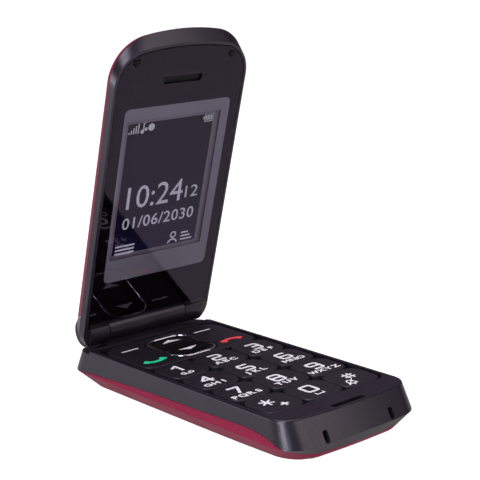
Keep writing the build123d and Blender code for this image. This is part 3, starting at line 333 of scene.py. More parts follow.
@dataclass(frozen=True)
class PaperSweep(Finish):
    """Seamless studio paper, burnt out to white for the camera and calmer in reflections.

    Its fibre is a faint mottle, far coarser than real.
    """

    dark: str = "#98989a"
    light: str = "#a2a2a4"
    fibre_mm: float = 3.0
    rough: float = 0.9
    seen: float = 1.0
    thrown: float = 0.35

    def shader(self, tree: Tree, place: Links) -> Node:
        """Matt Principled shader with a glow that is stronger for the camera's own rays."""
        fibre = add_node(tree, NOISE, scale(self.fibre_mm), place)
        by_camera = add_node(tree, "ShaderNodeLightPath").outputs["Is Camera Ray"]
        glow = {"To Min": self.thrown, "To Max": self.seen}
        return add_node(
            tree,
            SURFACE,
            {"Roughness": self.rough, "Emission Color": linear("#ffffff")},
            {
                "Base Color": add_node(tree, RAMP, tones(self.dark, self.light), {"Fac": fibre}),
                "Emission Strength": add_node(tree, RANGE, glow, {"Value": by_camera}),
            },
        )


@dataclass(frozen=True)
class LitPicture(Finish):
    """Backlit display: a dark ground that turns from black to navy down the picture."""

    upper: str = "#020203"
    lower: str = "#0d0b28"
    ground: str = "#08080a"
    level: float = 1.0
    ior: float = 1.5
    specular: float = 0.1
    rough: float = 0.35
    rough_spread: float = 0.05
    low_z_mm: float = 43.0
    high_z_mm: float = 86.0
    pixel_mm: float = 0.2

    def shader(self, tree: Tree, place: Links) -> Node:
        """Dark Principled shader whose light follows height, with a fine grain in its gloss."""
        parts = add_node(tree, "ShaderNodeSeparateXYZ", links=place)
        span = {"From Min": self.low_z_mm * MM, "From Max": self.high_z_mm * MM}
        height = add_node(tree, RANGE, span, {"Value": parts.outputs["Z"]})
        fade = {"stops": ((0.0, self.lower), (1.0, self.upper))}
        pixels = add_node(tree, NOISE, scale(self.pixel_mm), place)
        gloss = {"IOR": self.ior, "Specular IOR Level": self.specular}
        return add_node(
            tree,
            SURFACE,
            gloss | {"Base Color": linear(self.ground), "Emission Strength": self.level},
            {
                "Emission Color": add_node(tree, RAMP, fade, {"Fac": height}),
                "Roughness": add_node(tree, RANGE, spread(self.rough, self.rough_spread), {"Value": pixels}),
            },
        )


@dataclass(frozen=True)
class Woven(Finish):
    """Woven wire cloth: crossing wires with dark gaps, drawn three times coarser than real to show."""

    # near-black wire and gaps: the cloth's own dark colour, darkened further as painted shade of its slots
    wire: str = "#1c1b1e"
    gap: str = "#050505"
    pitch_mm: float = 0.35
    metal_share: float = 0.6
    rough: float = 0.45

    def shader(self, tree: Tree, place: Links) -> Node:
        """Part metallic shader under a check that stands for the weave."""
        check = scale(self.pitch_mm) | {"Color1": linear(self.wire), "Color2": linear(self.gap)}
        weave = add_node(tree, "ShaderNodeTexChecker", check, place)
        metal = {"Metallic": self.metal_share, "Roughness": self.rough}
        return add_node(tree, SURFACE, metal, {"Base Color": weave})


@dataclass(frozen=True)
class CircuitLaminate(Finish):
    """Glass-epoxy board under green solder mask, which is lighter over the copper."""

    mask: str = "#12502c"
    copper: str = "#1e7a45"
    track_mm: float = 1.1
    ior: float = 1.55
    rough: float = 0.35

    def shader(self, tree: Tree, place: Links) -> Node:
        """Satin shader with tracks from a stepped pattern."""
        tracks = add_node(tree, CELLS, scale(self.track_mm) | {"distance": "CHEBYCHEV"}, place)
        tone = add_node(tree, RAMP, tones(self.mask, self.copper), {"Fac": tracks})
        return add_node(tree, SURFACE, {"IOR": self.ior, "Roughness": self.rough}, {"Base Color": tone})


class Stock(Enum):
    """The finishes of the handset's own pieces."""

    # Satin paint over ABS: a soft grey sheen that runs along the sloping band.
    HOUSING = Moulded("black_abs_satin_painted", "#1b171e", "#201c24", rough=0.32)
    # The same paint on the lid, a hair duller: the band round the lens takes one soft even sheen.
    LID_BAND = Moulded("black_abs_lid_band", "#1b171e", "#201c24", rough=0.33)
    # Hard-coated polycarbonate caps: charcoal, a fine matt grain and a faint light rim.
    KEY = Moulded(
        "black_polycarbonate_key_hardcoat",
        "#1f1c22",
        "#232026",
        rough=0.42,
        grain_depth_mm=0.002,
        specular=0.32,
    )
    # Polished polycarbonate: near black beside the matt caps.
    PAD = Moulded("black_polycarbonate_pad_gloss", "#050506", "#08070a", rough=0.2, grain_depth_mm=0.001)
    # Flake lacquer: deep wine red with a soft sparkle, brightest where the cover turns to the light.
    COVER = FlakeLacquer("red_flake_lacquer_on_abs")
    # Chrome plate on moulded ABS: a bright line of mirrored studio light round the pad.
    RING = Metal("bright_chrome_plate_on_abs", "#e8eae9", "#f3f5f4", rough=0.12)
    # Hard-coated acrylic sheet: clear, with the keys mirrored in it.
    LENS = ClearAcrylic("hard_coated_acrylic_lens")
    # Back-printed black: an even dark ground under the gloss of the lens.
    MASK = PrintedInk("black_back_print", "#050406", "#080709", rough=0.6, specular=0.05)
    # Back-printed light grey, which the lens turns mid grey: a plain band with a crisp edge.
    BORDER = PrintedInk("grey_back_print", "#c2c8cc", "#c8ced2", rough=0.6, specular=0.05)
    # Two-shot white legend ink, faintly lit from below: soft white on the dark caps.
    LEGEND = PrintedInk("white_legend_ink", "#f0f5f0", "#f9fdf8", glow=0.1)
    # Green ink of the call key, faintly lit: a clear cool green.
    CALL = PrintedInk("green_call_ink", "#20d88e", "#2ae69b", glow=0.2)
    # Red ink of the end key, faintly lit: a warm signal red.
    END = PrintedInk("red_end_ink", "#ee4646", "#f85250", glow=0.15)
    # Painted steel frame of the display, in shade under the lens: a dull even grey.
    BEZEL = Moulded("grey_painted_display_frame", "#bdbac2", "#c3c0c8", rough=0.6, specular=0.1)
    # Backlit liquid crystal: a dark picture that turns navy towards its foot.
    PICTURE = LitPicture("backlit_display_picture")
    # Lit characters: pale lilac white, not quite as bright as paper.
    GLYPH = PrintedInk("backlit_display_glyphs", "#8b8a94", "#b5b6c1", glow=0.95)
    # Edge of the display glass beyond its picture: a matt grey margin.
    PANEL = Moulded("display_glass_margin", "#5c5660", "#635d67", rough=0.5, specular=0.1)
    # Unpainted inner moulding: a duller black than the outside.
    INNER = Moulded("black_abs_inner_moulding", "#141316", "#1a191c", rough=0.5)
    # Steel plate under the keys, coloured near black as painted shade in the key gaps: a dull dark ground
    # there.
    FRAME = Moulded("steel_frame_painted_gap_shade", "#0b0a0c", "#0f0e10", rough=0.55, specular=0.15)
    # Silicone rubber: milky grey, soft edged and almost without gloss.
    SILICONE = Moulded("grey_silicone_mat", "#8b8b90", "#95959a", rough=0.6, ior=1.41)
    # Polyester foil with a silvered back: pale and smooth.
    FOIL = Moulded("silvered_polyester_foil", "#b8bac0", "#c8cad0", rough=0.3)
    # Glass-epoxy laminate under solder mask: green with lighter tracks.
    BOARD = CircuitLaminate("green_masked_laminate")
    # Tinplate: bright cold grey with faint rolling marks.
    TIN = Metal("bright_tinplate", "#a9a9a6", "#bbbbb8", rough=0.3)
    # Plain steel: mid grey with drawing marks.
    STEEL = Metal("plain_spring_steel", "#8a8a8c", "#9a9a9c", rough=0.3)
    # Gold-plated bronze: small warm glints in the charging slots.
    GOLD = Metal("gold_plated_bronze", "#b98f45", "#c99e52", rough=0.25)
    # Printed shrink wrap: dark blue-grey film.
    WRAP = Moulded("battery_shrink_wrap", "#1a1c22", "#20232b", rough=0.4)
    # Glass-filled nylon: dull black capsules.
    CAPSULE = Moulded("black_nylon_capsule", "#19191b", "#212124", rough=0.55)
    # Dark wire cloth, darkened further as painted shade of the slots it sits in: a fine dark check in the
    # sound openings.
    MESH = Woven("dark_wire_cloth_painted_slot_shade")
    # Polyimide film: translucent-looking amber strip.
    POLYIMIDE = Moulded("amber_polyimide_film", "#8a4d12", "#a35e18", rough=0.3)
    # Cast rubber with a moulded gloss: small black studs that hide in the lens.
    RUBBER = Moulded("black_rubber_bumper", "#060507", "#0a090b", rough=0.3, specular=0.15)

    def dress(self, *names: str) -> None:
        """Give this finish to CAD nodes by name."""
        for name in names:
            self.value.dress(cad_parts[name])
        LOG.info("%s on %s", self.value.name, ", ".join(names))


# ---------------- places to print on
@dataclass(frozen=True)
class Face:
    """A flat place on the handset with its own x, y and height; its x is the row frame's."""

    origin: Place
    outward: Place = (0.0, 0.0, 1.0)

    def matrix(self) -> Matrix:
        """Matrix from the face's millimetres to the row frame's metres."""
        x, z = Vector((1.0, 0.0, 0.0)), Vector(self.outward)
        y = z.cross(x)
        turn = Matrix((x, y, z)).transposed().to_4x4()
        return Matrix.Translation(Vector(self.origin) * MM) @ turn @ Matrix.Scale(MM, 4)


def rounded(points: Sequence[Point], radius: float, closed: bool = False, steps: int = 5) -> list[Point]:
    """Round the corners of a path.

    Args:
        points: the path's corners.
        radius: how far from a corner its curve may start.
        closed: True if the path ends where it starts.
        steps: points in each curve.

    Returns:
        The path's points with each corner replaced by a curve.
    """
    count = len(points)
    made: list[Point] = []
    for i, (x, y) in enumerate(points):
        if not closed and i in (0, count - 1):
            made.append((x, y))
            continue
        before, after = points[i - 1], points[(i + 1) % count]
        sides = [(px - x, py - y, hypot(px - x, py - y)) for px, py in (before, after)]
        reach = min(radius, *(CORNER_SHARE * length for _, _, length in sides))
        start, end = ((x + dx / length * reach, y + dy / length * reach) for dx, dy, length in sides)
        for k in range(steps + 1):
            t = k / steps
            u, v, w = (1 - t) ** 2, 2 * t * (1 - t), t**2
            made.append((u * start[0] + v * x + w * end[0], u * start[1] + v * y + w * end[1]))
    return made


def arc(middle: Point, radius: float, start: float, end: float, steps: int = 16) -> list[Point]:
    """Points on a circle's arc, with angles in degrees."""
    turns = [radians(start + (end - start) * k / steps) for k in range(steps + 1)]
    return [(middle[0] + radius * cos(a), middle[1] + radius * sin(a)) for a in turns]


def circle(middle: Point, radius: float, steps: int = 20) -> list[Point]:
    """Points once round a circle."""
    return arc(middle, radius, 0, 360, steps)[:-1]


def soft_box(middle: float, half: float, low: float, high: float, radius: float) -> list[Point]:
    """Outline of a box with round corners, from its lower right corner on.

    Args:
        middle: x of its middle.
        half: half its width.
        low: its lower edge.
        high: its upper edge.
        radius: radius of its corners.

    Returns:
        The outline's points.
    """
    side, foot, top = half - radius, low + radius, high - radius
    corners = ((side, foot, 270), (side, top, 0), (-side, top, 90), (-side, foot, 180))
    return [p for x, y, turn in corners for p in arc((middle + x, y), radius, turn, turn + 90, 6)]


@dataclass
class Print:
    """A thin printed or lit shape, gathered flat and then raised into a closed mesh."""

    name: str
    face: Face
    depth: float = 0.03
    mesh: bmesh.types.BMesh = field(default_factory=bmesh.new)

    def stroke(self, path: Sequence[Point], width: float | Sequence[float], closed: bool = False) -> None:
        """Add a ribbon along a path.

        Args:
            path: its centre line.
            width: one width, or one for each point.
            closed: True if the ribbon joins its own start.
        """
        count = len(path)
        widths = [width] * count if isinstance(width, (int, float)) else list(width)
        left: list[Point] = []
        right: list[Point] = []
        for i, (x, y) in enumerate(path):
            before = path[i - 1] if closed or i > 0 else path[i]
            after = path[(i + 1) % count] if closed or i < count - 1 else path[i]
            dx, dy = after[0] - before[0], after[1] - before[1]
            length = hypot(dx, dy) or 1.0
            nx, ny = -dy / length * widths[i] / 2, dx / length * widths[i] / 2
            left.append((x + nx, y + ny))
            right.append((x - nx, y - ny))
        self.band(left, right, closed)

    def patch(self, outline: Sequence[Point]) -> None:
        """Add a filled patch.

        Args:
            outline: its corners, in order.
        """
        self.mesh.faces.new([self.mesh.verts.new((x, y, 0)) for x, y in outline])

    def dot(self, middle: Point, radius: float) -> None:
        """Add a filled round dot."""
        self.patch(circle(middle, radius, 24))

    def band(self, outer: Sequence[Point], inner: Sequence[Point], closed: bool = True) -> None:
        """Fill between two lines with the same number of points, and round to their start if closed."""
        rows = [[self.mesh.verts.new((*point, 0)) for point in pair] for pair in zip(outer, inner)]
        for (a, b), (c, d) in zip(rows, rows[1:] + (rows[:1] if closed else [])):
            self.mesh.faces.new((a, b, d, c))

    def words(
        self,
        text: str,
        middle: Point,
        height: float,
        bold: float = 0.0,
        spread: float = 1.0,
        stretch: float = 1.0,
    ) -> None:
        """Add plain characters.

        Args:
            text: generic characters, such as digits.
            middle: centre of the line of text.
            height: height of a capital.
            bold: how much the strokes are thickened.
            spread: character spacing.
            stretch: how much wider than usual the characters are.
        """
        curve = bpy.data.curves.new("characters", "FONT")
        curve.body = text
        curve.align_x, curve.align_y = "CENTER", "CENTER"
        curve.size = height / CAPITAL_SHARE
        curve.offset = bold
        curve.space_character = spread
        curve.resolution_u = 3
        holder = bpy.data.objects.new("characters", curve)
        shape = bpy.data.meshes.new_from_object(holder)
        shape.transform(Matrix.Translation((middle[0], middle[1], 0)) @ Matrix.Diagonal((stretch, 1, 1, 1)))
        self.mesh.from_mesh(shape)
        bpy.data.objects.remove(holder)
        bpy.data.curves.remove(curve)
        bpy.data.meshes.remove(shape)

    def join(self) -> None:
        """Turn patches that overlap into one flat net, so that no two faces lie on each other."""
        bmesh.ops.remove_doubles(self.mesh, verts=self.mesh.verts[:], dist=TOUCHING)
        bmesh.ops.triangulate(self.mesh, faces=self.mesh.faces[:])
        self.mesh.verts.index_update()
        corners = [v.co.to_2d() for v in self.mesh.verts]
        triangles = []
        for face in self.mesh.faces:
            a, b, c = (v.index for v in face.verts)
            turn = (corners[b] - corners[a]).cross(corners[c] - corners[a])
            if abs(turn) > THINNEST:
                triangles.append((a, b, c) if turn > 0 else (a, c, b))
        places, _, faces, _, _, sources = delaunay_2d_cdt(corners, [], triangles, 0, TOUCHING, True)
        self.mesh.clear()
        verts = [self.mesh.verts.new((*place, 0)) for place in places]
        for face, source in zip(faces, sources):
            if source:
                self.mesh.faces.new([verts[i] for i in face])
        loose = [v for v in self.mesh.verts if not v.link_faces]
        bmesh.ops.delete(self.mesh, geom=loose, context="VERTS")

    def raise_on(self, body: str, finish: Stock, slot: str) -> None:
        """Give the shape its thickness and finish, and let it ride on a body.

        Args:
            body: the CAD body's name.
            finish: what it is printed with.
            slot: the record's material slot; not used.
        """
        self.join()
        flat = self.mesh.faces[:]
        raised = bmesh.ops.extrude_face_region(self.mesh, geom=flat, use_keep_orig=True)
        tops = [v for v in raised["geom"] if isinstance(v, bmesh.types.BMVert)]
        bmesh.ops.translate(self.mesh, verts=tops, vec=(0, 0, self.depth))
        bmesh.ops.recalc_face_normals(self.mesh, faces=self.mesh.faces[:])
        data = bpy.data.meshes.new(self.name)
        self.mesh.to_mesh(data)
        self.mesh.free()
        data.transform(self.face.matrix())
        piece = add_object(self.name, data)
        finish.value.dress(piece)
        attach(piece, body)
        LOG.info("%s printed on %s, %d faces", self.name, body, len(data.polygons))


# ---------------- keypad
# each row's keys with the standard letters under their figures
KEY_ROWS = (
    (("key_1", ""), ("key_2", "ABC"), ("key_3", "DEF")),
    (("key_4", "GHI"), ("key_5", "JKL"), ("key_6", "MNO")),
    (("key_7", "PQRS"), ("key_8", "TUV"), ("key_9", "WXYZ")),
    (("key_star", ""), ("key_0", ""), ("key_hash", "")),
)
# figures whose corners are sharper than the others'
SHARP_FIGURES = ("key_1", "key_4", "key_7")


@dataclass(frozen=True)
class CommandKey:
    """What one command key shows: a dash, and a receiver with its turn in degrees and its ink."""

    name: str
    dash: Point
    receiver: Point
    tilt: float
    ink: Stock


@dataclass
class Keypad:
    """Key caps with their printed figures, the command keys and the ringed pad."""

    pitch_x: float = 15.1
    pitch_y: float = 13.55
    top_y: float = -3.6
    top_z: float = 14.0
    pad_z: float = 13.75
    sink: float = 0.01
    ink_depth: float = 0.04
    figure_rise: float = 1.05
    legend_shift: float = -0.6
    letters_drop: float = 3.5
    figure_x: float = 1.9
    figure_y: float = 2.3
    stroke: float = 0.92
    corner: float = 0.9
    sharp_corner: float = 0.3
    letter_height: float = 2.15
    letter_pitch: float = 2.9
    letter_bold: float = 0.1
    letter_stretch: float = 1.25
    wide_letter_share: float = 0.8
    reels_y: float = -3.8
    space_y: float = -2.9
    dash_y: float = 15.4
    dash_width: float = 0.62
    arrow_half: float = 3.6
    # y of each arrow's foot and tip
    arrows: tuple[Point, Point] = ((13.9, 16.0), (5.7, 3.7))
    commands: tuple[CommandKey, CommandKey] = (
        CommandKey("left_command_key", (-18.1, -12.0), (-15.5, 1.7), 180.0, Stock.CALL),
        CommandKey("right_command_key", (10.5, 16.9), (14.4, 1.6), 0.0, Stock.END),
    )

    def figures(self) -> dict[str, list[tuple[list[Point], bool]]]:
        """Strokes of each figure as (path, closed), round its own centre."""
        a, b, edge = self.figure_x, self.figure_y, self.stroke / 2
        ring = [(-a, -b), (a, -b), (a, b), (-a, b)]
        return {
            "key_1": [([(-0.75 * a, 0.35 * b), (0.35 * a, b), (0.35 * a, -b)], False)],
            "key_2": [([(-a, b), (a, b), (a, 0), (-a, 0), (-a, -b), (a, -b)], False)],
            "key_3": [([(-a, b), (a, b), (a, -b), (-a, -b)], False), ([(-0.5 * a, 0), (a - edge, 0)], False)],
            "key_4": [([(0.45 * a, -b), (0.45 * a, b), (-a, -0.3 * b), (1.15 * a, -0.3 * b)], False)],
            "key_5": [([(a, b), (-a, b), (-a, 0), (a, 0), (a, -b), (-a, -b)], False)],
            "key_6": [([(a, b), (-a, b), (-a, -b), (a, -b), (a, 0), (edge - a, 0)], False)],
            "key_7": [([(-a, b), (a, b), (-0.35 * a, -b)], False)],
            "key_8": [(ring, True), ([(edge - a, 0), (a - edge, 0)], False)],
            "key_9": [([(-a, -b), (a, -b), (a, b), (-a, b), (-a, 0), (a - edge, 0)], False)],
            "key_0": [(ring, True)],
        }

    def key_middle(self, row: int, column: int) -> Point:
        """Centre of a key in the row frame."""
        return ((column - 1) * self.pitch_x, self.top_y - (row + 0.5) * self.pitch_y)

    def sheet(self, name: str, surface_z: float, middle: Point = (0.0, 0.0)) -> Print:
        """A legend that is sunk a hair into a surface and stands above it.

        Args:
            name: the new piece's name.
            surface_z: height of the surface.
            middle: where the legend's own x and y are zero.

        Returns:
            The empty legend.
        """
        return Print(name, Face((*middle, surface_z - self.sink)), self.ink_depth)

    def print_number(self, name: str, letters: str, middle: Point) -> None:
        """Print one key's figure with its letters or its sign.

        Args:
            name: the key's node and body.
            letters: the standard letters, which may be none.
            middle: the key's centre.
        """
        sheet = self.sheet(f"legend_{name}", self.top_z, middle)
        up, left = self.figure_rise, self.legend_shift
        corner = self.sharp_corner if name in SHARP_FIGURES else self.corner
        for path, closed in self.figures().get(name, []):
            moved = [(x + left, y + up) for x, y in path]
            sheet.stroke(rounded(moved, corner, closed), self.stroke, closed)
        for i, letter in enumerate(letters):
            place = (left + (i - (len(letters) - 1) / 2) * self.letter_pitch, -self.letters_drop)
            if letter == "M":
                self.print_m(sheet, place)
                continue
            wide = self.letter_stretch * (self.wide_letter_share if letter == "W" else 1.0)
            sheet.words(letter, place, self.letter_height, self.letter_bold, stretch=wide)
        if name == "key_1":
            self.print_reels(sheet, (left, self.reels_y))
        elif name == "key_0":
            self.print_space(sheet, (left, self.space_y))
        elif name == "key_star":
            self.print_arms(sheet, (-1.45, up), arms=6, reach=2.3, width=0.62)
            self.print_arms(sheet, (1.7, -2.9), arms=4, reach=1.3, width=0.75)
        elif name == "key_hash":
            self.print_hash(sheet, up)
            self.print_bell(sheet, (-3.3, -3.2))
        sheet.raise_on(name, Stock.LEGEND, "key_cap")

    @staticmethod
    def print_m(sheet: Print, middle: Point) -> None:
        """Print an M from four strokes, because the font's M doesn't take thicker strokes."""
        x, y = middle
        half, foot, head, notch, line = 0.95, -0.98, 1.22, -0.1, 0.5
        slant_half, slant_head = 0.9, 1.1
        for side in (-1, 1):
            sheet.stroke([(x + side * half, y + foot), (x + side * half, y + head)], line)
            sheet.stroke([(x + side * slant_half, y + slant_head), (x, y + notch)], line)

    @staticmethod
    def print_reels(sheet: Print, middle: Point) -> None:
        """Print two reels on a line, the generic sign for messages."""
        x, y = middle
        apart, radius, line = 1.35, 0.75, 0.45
        for side in (-1, 1):
            sheet.stroke(circle((x + side * apart, y), radius), line, True)
        sheet.stroke([(x - apart, y - radius), (x + apart, y - radius)], line)

    @staticmethod
    def print_space(sheet: Print, middle: Point) -> None:
        """Print a shallow tray, the generic sign for a space."""
        x, y = middle
        half, drop, line = 1.4, 1.0, 0.55
        sheet.stroke([(x - half, y), (x - half, y - drop), (x + half, y - drop), (x + half, y)], line)

    @staticmethod
    def print_hash(sheet: Print, up: float) -> None:
        """Print a hash round x = 0 at a height, from bars that end where they meet."""
        gap, tall, wide, line = 0.78, 2.0, 1.9, 0.5
        inner, outer = gap - line / 2, gap + line / 2
        for shift in (-gap, gap):
            sheet.stroke([(shift, up - tall), (shift, up + tall)], line)
            for start, end in ((-wide, -outer), (-inner, inner), (outer, wide)):
                sheet.stroke([(start, up + shift), (end, up + shift)], line)

    @staticmethod
    def print_arms(sheet: Print, middle: Point, arms: int, reach: float, width: float) -> None:
        """Print a star or a plus as one patch.

        Args:
            sheet: what it is printed with.
            middle: its centre.
            arms: how many arms it has, one of which points up.
            reach: length of an arm.
            width: width of an arm.
        """
        x, y = middle
        inner = width / 2 / sin(pi / arms)
        outline: list[Point] = []
        for i in range(arms):
            turn = pi / 2 + 2 * pi * i / arms
            c, s = cos(turn), sin(turn)
            for half in (-width / 2, width / 2):
                outline.append((x + reach * c - half * s, y + reach * s + half * c))
            notch = turn + pi / arms
            outline.append((x + inner * cos(notch), y + inner * sin(notch)))
        sheet.patch(outline)

    @staticmethod
    def print_bell(sheet: Print, middle: Point) -> None:
        """Print a small struck-out bell, the generic sign for silent."""
        x, y = middle
        line, corner, clapper = 0.42, 0.4, 0.4
        bell = [(-1.6, -1.2), (1.6, -1.2), (1.1, -0.3), (0.9, 1.0), (0, 1.7), (-0.9, 1.0), (-1.1, -0.3)]
        sheet.stroke(rounded([(x + u, y + v) for u, v in bell], corner, True), line, True)
        sheet.dot((x, y - 1.8), clapper)
        sheet.stroke([(x - 2.0, y - 1.7), (x + 2.0, y + 1.8)], line)

    @staticmethod
    def handset(middle: Point, tilt: float) -> tuple[list[Point], list[float]]:
        """Centre line and widths of a telephone receiver sign.

        Args:
            middle: its centre.
            tilt: turn in degrees.

        Returns:
            The path and a width for each of its points.
        """
        steps, ends, end_width, grip_width = 24, 5, 2.25, 1.4
        drop, radius, first, last = 3.7, 4.6, 142, 38
        bend = arc((0, -drop), radius, first, last, steps)
        c, s = cos(radians(tilt)), sin(radians(tilt))
        path = [(middle[0] + x * c - y * s, middle[1] + x * s + y * c) for x, y in bend]
        widths = [end_width if min(i, steps - i) < ends else grip_width for i in range(len(path))]
        return path, widths

    def command_prints(self) -> None:
        """Print the dashes and receivers on the two command keys."""
        for key in self.commands:
            sheet = self.sheet(f"dash_{key.name}", self.top_z)
            sheet.stroke([(x, self.dash_y) for x in key.dash], self.dash_width)
            sheet.raise_on(key.name, Stock.LEGEND, "key_cap")
            sign = self.sheet(f"receiver_{key.name}", self.top_z)
            sign.stroke(*self.handset(key.receiver, key.tilt))
            sign.raise_on(key.name, key.ink, "key_cap")

    def pad_prints(self) -> None:
        """Print the up and down arrows on the navigation pad."""
        sheet = self.sheet("arrows_navigation_pad", self.pad_z)
        for foot, tip in self.arrows:
            sheet.patch([(-self.arrow_half, foot), (self.arrow_half, foot), (0, tip)])
        sheet.raise_on("navigation", Stock.LEGEND, "key_cap")

    def build(self) -> None:
        """Dress and print the whole keypad."""
        for row, keys in enumerate(KEY_ROWS):
            for column, (name, letters) in enumerate(keys):
                Stock.KEY.dress(name)
                self.print_number(name, letters, self.key_middle(row, column))
        Stock.KEY.dress("left_command_key", "right_command_key")
        Stock.PAD.dress("navigation_pad")
        Stock.RING.dress("navigation_ring")
        self.command_prints()
        self.pad_prints()


# ---------------- lid
@dataclass
class Lid:
    """The lid's frame, shell, lens and display, with what is printed or lit behind the lens."""

    hinge: Place = (0.0, 30.0, 18.2)
    angle: float = 73.4
    mask_front: float = 2.55
    panel_front: float = 1.35
    # half width, foot and top of each outline, with its corner radius where it has one
    border_size: tuple[float, ...] = (20.0, 18.0, 75.7, 1.8)
    border_shift: float = 1.05
    window_size: tuple[float, ...] = (17.9, 25.8, 71.8, 0.6)
    lit_size: tuple[float, ...] = (16.2, 26.7, 70.3)
    clear_of_mask: float = 0.005
    clear_of_panel: float = 0.01
    clear_of_picture: float = 0.045
    lit_depth: float = 0.02

    def face(self, level: float) -> Face:
        """The lid's face at a depth, with its x along the hinge and y up the lid."""
        a = radians(self.angle)
        outward = Vector((0, -sin(a), -cos(a)))
        place = Vector(self.hinge) + outward * level
        return Face(tuple(place), tuple(outward))

    def border(self) -> None:
        """Grey band printed behind the lens round the display window."""
        sheet = Print("display_border_print", self.face(self.mask_front + self.clear_of_mask), self.lit_depth)
        sheet.band(soft_box(self.border_shift, *self.border_size), soft_box(0.0, *self.window_size))
        sheet.raise_on("lid", Stock.BORDER, "mask")

    def picture(self) -> None:
        """The lit picture and all that it shows."""
        ground = Print("display_picture", self.face(self.panel_front + self.clear_of_panel))
        half, low, high = self.lit_size
        ground.patch([(-half, low), (half, low), (half, high), (-half, high)])
        ground.raise_on("lid", Stock.PICTURE, "display_glass")
        glyphs = Print(
            "display_glyphs", self.face(self.panel_front + self.clear_of_picture), self.lit_depth
        )
        self.status_line(glyphs)
        self.battery_sign(glyphs)
        glyphs.words("10:24", (-3.3, 45.2), 7.9)
        glyphs.words("12", (11.5, 44.3), 4.2, stretch=1.15)
        glyphs.words("01/06/2030", (0.2, 36.8), 4.0, bold=0.03, spread=1.06, stretch=1.06)
        self.soft_marks(glyphs)
        glyphs.raise_on("lid", Stock.GLYPH, "display_glass")

    @staticmethod
    def status_line(glyphs: Print) -> None:
        """Signal bars, a note and a dot, along the top of the picture."""
        first, pitch, foot, lowest, step, line = -15.7, 0.85, 67.1, 0.6, 0.65, 0.4
        for i in range(5):
            x = first + i * pitch
            glyphs.stroke([(x, foot), (x, foot + lowest + step * i)], line)
        glyphs.stroke([(-10.4, 67.5), (-10.4, 70.2), (-9.1, 70.5)], line)
        for middle, radius in (((-10.8, 67.5), 0.65), ((-9.5, 68.2), 0.55), ((-7.5, 68.6), 1.2)):
            glyphs.dot(middle, radius)

    @staticmethod
    def battery_sign(glyphs: Print) -> None:
        """A full battery at the right end of the top line."""
        left, right, foot, top, line = 13.0, 16.1, 67.9, 70.4, 0.3
        glyphs.stroke([(left, foot), (right, foot), (right, top), (left, top)], line, True)
        first, pitch, inset, bar = 0.55, 0.66, 0.4, 0.38
        for i in range(4):
            x = left + first + i * pitch
            glyphs.stroke([(x, foot + inset), (x, top - inset)], bar)
        glyphs.patch([(12.4, 68.7), (12.8, 68.7), (12.8, 69.6), (12.4, 69.6)])

    @staticmethod
    def soft_marks(glyphs: Print) -> None:
        """Marks over the two command keys: a list on the left, a person and a list on the right."""
        for left, right, foot, pitch, shorter, line in (
            (-15.2, -7.9, 26.9, 1.25, 0.0, 0.6),
            (10.4, 15.0, 27.6, 1.2, 0.9, 0.55),
        ):
            for i in range(3):
                y = foot + i * pitch
                glyphs.stroke([(left, y), (right - i * shorter, y)], line)
        person_x, head_y, head, chest_y, shoulders = 7.2, 29.9, 0.95, 26.4, 1.9
        glyphs.stroke(circle((person_x, head_y), head), 0.5, True)
        glyphs.stroke(arc((person_x, chest_y), shoulders, 20, 160, 12), 0.55)

    def build(self) -> None:
        """Dress the lid's nodes and add what shows through the lens."""
        Stock.LID_BAND.dress("lid_inner_frame")
        Stock.COVER.dress("lid_outer_shell")
        Stock.LENS.dress("display_lens")
        Stock.MASK.dress("display_mask")
        Stock.BEZEL.dress("display_bezel")
        Stock.PANEL.dress("display_panel")
        Stock.BOARD.dress("lid_board")
        Stock.POLYIMIDE.dress("lid_flex")
        Stock.CAPSULE.dress("earpiece")
        # the ear mesh's near-black colour is partly painted shade of its slot
        Stock.MESH.dress("earpiece_mesh")
        Stock.STEEL.dress("lid_magnet", "lid_screws")
        Stock.RUBBER.dress("lid_bumpers")
        self.border()
        self.picture()


# ---------------- base
class Base:
    """Housings, side controls and everything inside the base."""

    def build(self) -> None:
        """Dress every node of the base."""
        Stock.HOUSING.dress("base_front_housing")
        Stock.INNER.dress("base_rear_chassis", "hinge_bush")
        Stock.COVER.dress("battery_cover")
        Stock.KEY.dress("volume_rocker", "assistance_button")
        # the keypad plate's near-black colour is painted shade in the key gaps
        Stock.FRAME.dress("keypad_frame")
        Stock.STEEL.dress("base_screws", "vibration_motor")
        Stock.SILICONE.dress("keypad_mat")
        Stock.FOIL.dress("dome_sheet")
        Stock.BOARD.dress("main_board")
        Stock.TIN.dress("shield_cans", "card_holder", "charging_socket")
        Stock.WRAP.dress("battery")
        Stock.GOLD.dress("battery_contacts", "charging_contacts", "antenna")
        Stock.CAPSULE.dress("loudspeaker", "microphone")
        # the speaker mesh's near-black colour is partly painted shade of its slot
        Stock.MESH.dress("loudspeaker_mesh")
        Stock.POLYIMIDE.dress("base_flex")
        Stock.STEEL.dress("hinge_case", "hinge_spring", "hinge_follower", "hinge_cam", "hinge_pin")


# ---------------- studio
@dataclass
class Softbox:
    """A soft area light: its place, target and size in metres, and its power in watts."""

    name: str
    place: Place
    target: Place
    width: float
    height: float
    power: float
    tint: str

    def build(self) -> None:
        """Add the light to the scene."""
        lamp = bpy.data.lights.new(self.name, "AREA")
        lamp.shape = "RECTANGLE"
        lamp.size, lamp.size_y = self.width, self.height
        lamp.energy = self.power
        lamp.color = linear(self.tint)[:3]
        holder = add_object(self.name, lamp)
        holder.location = self.place
        aim = Vector(self.target) - Vector(self.place)
        holder.rotation_euler = aim.to_track_quat("-Z", "Y").to_euler()


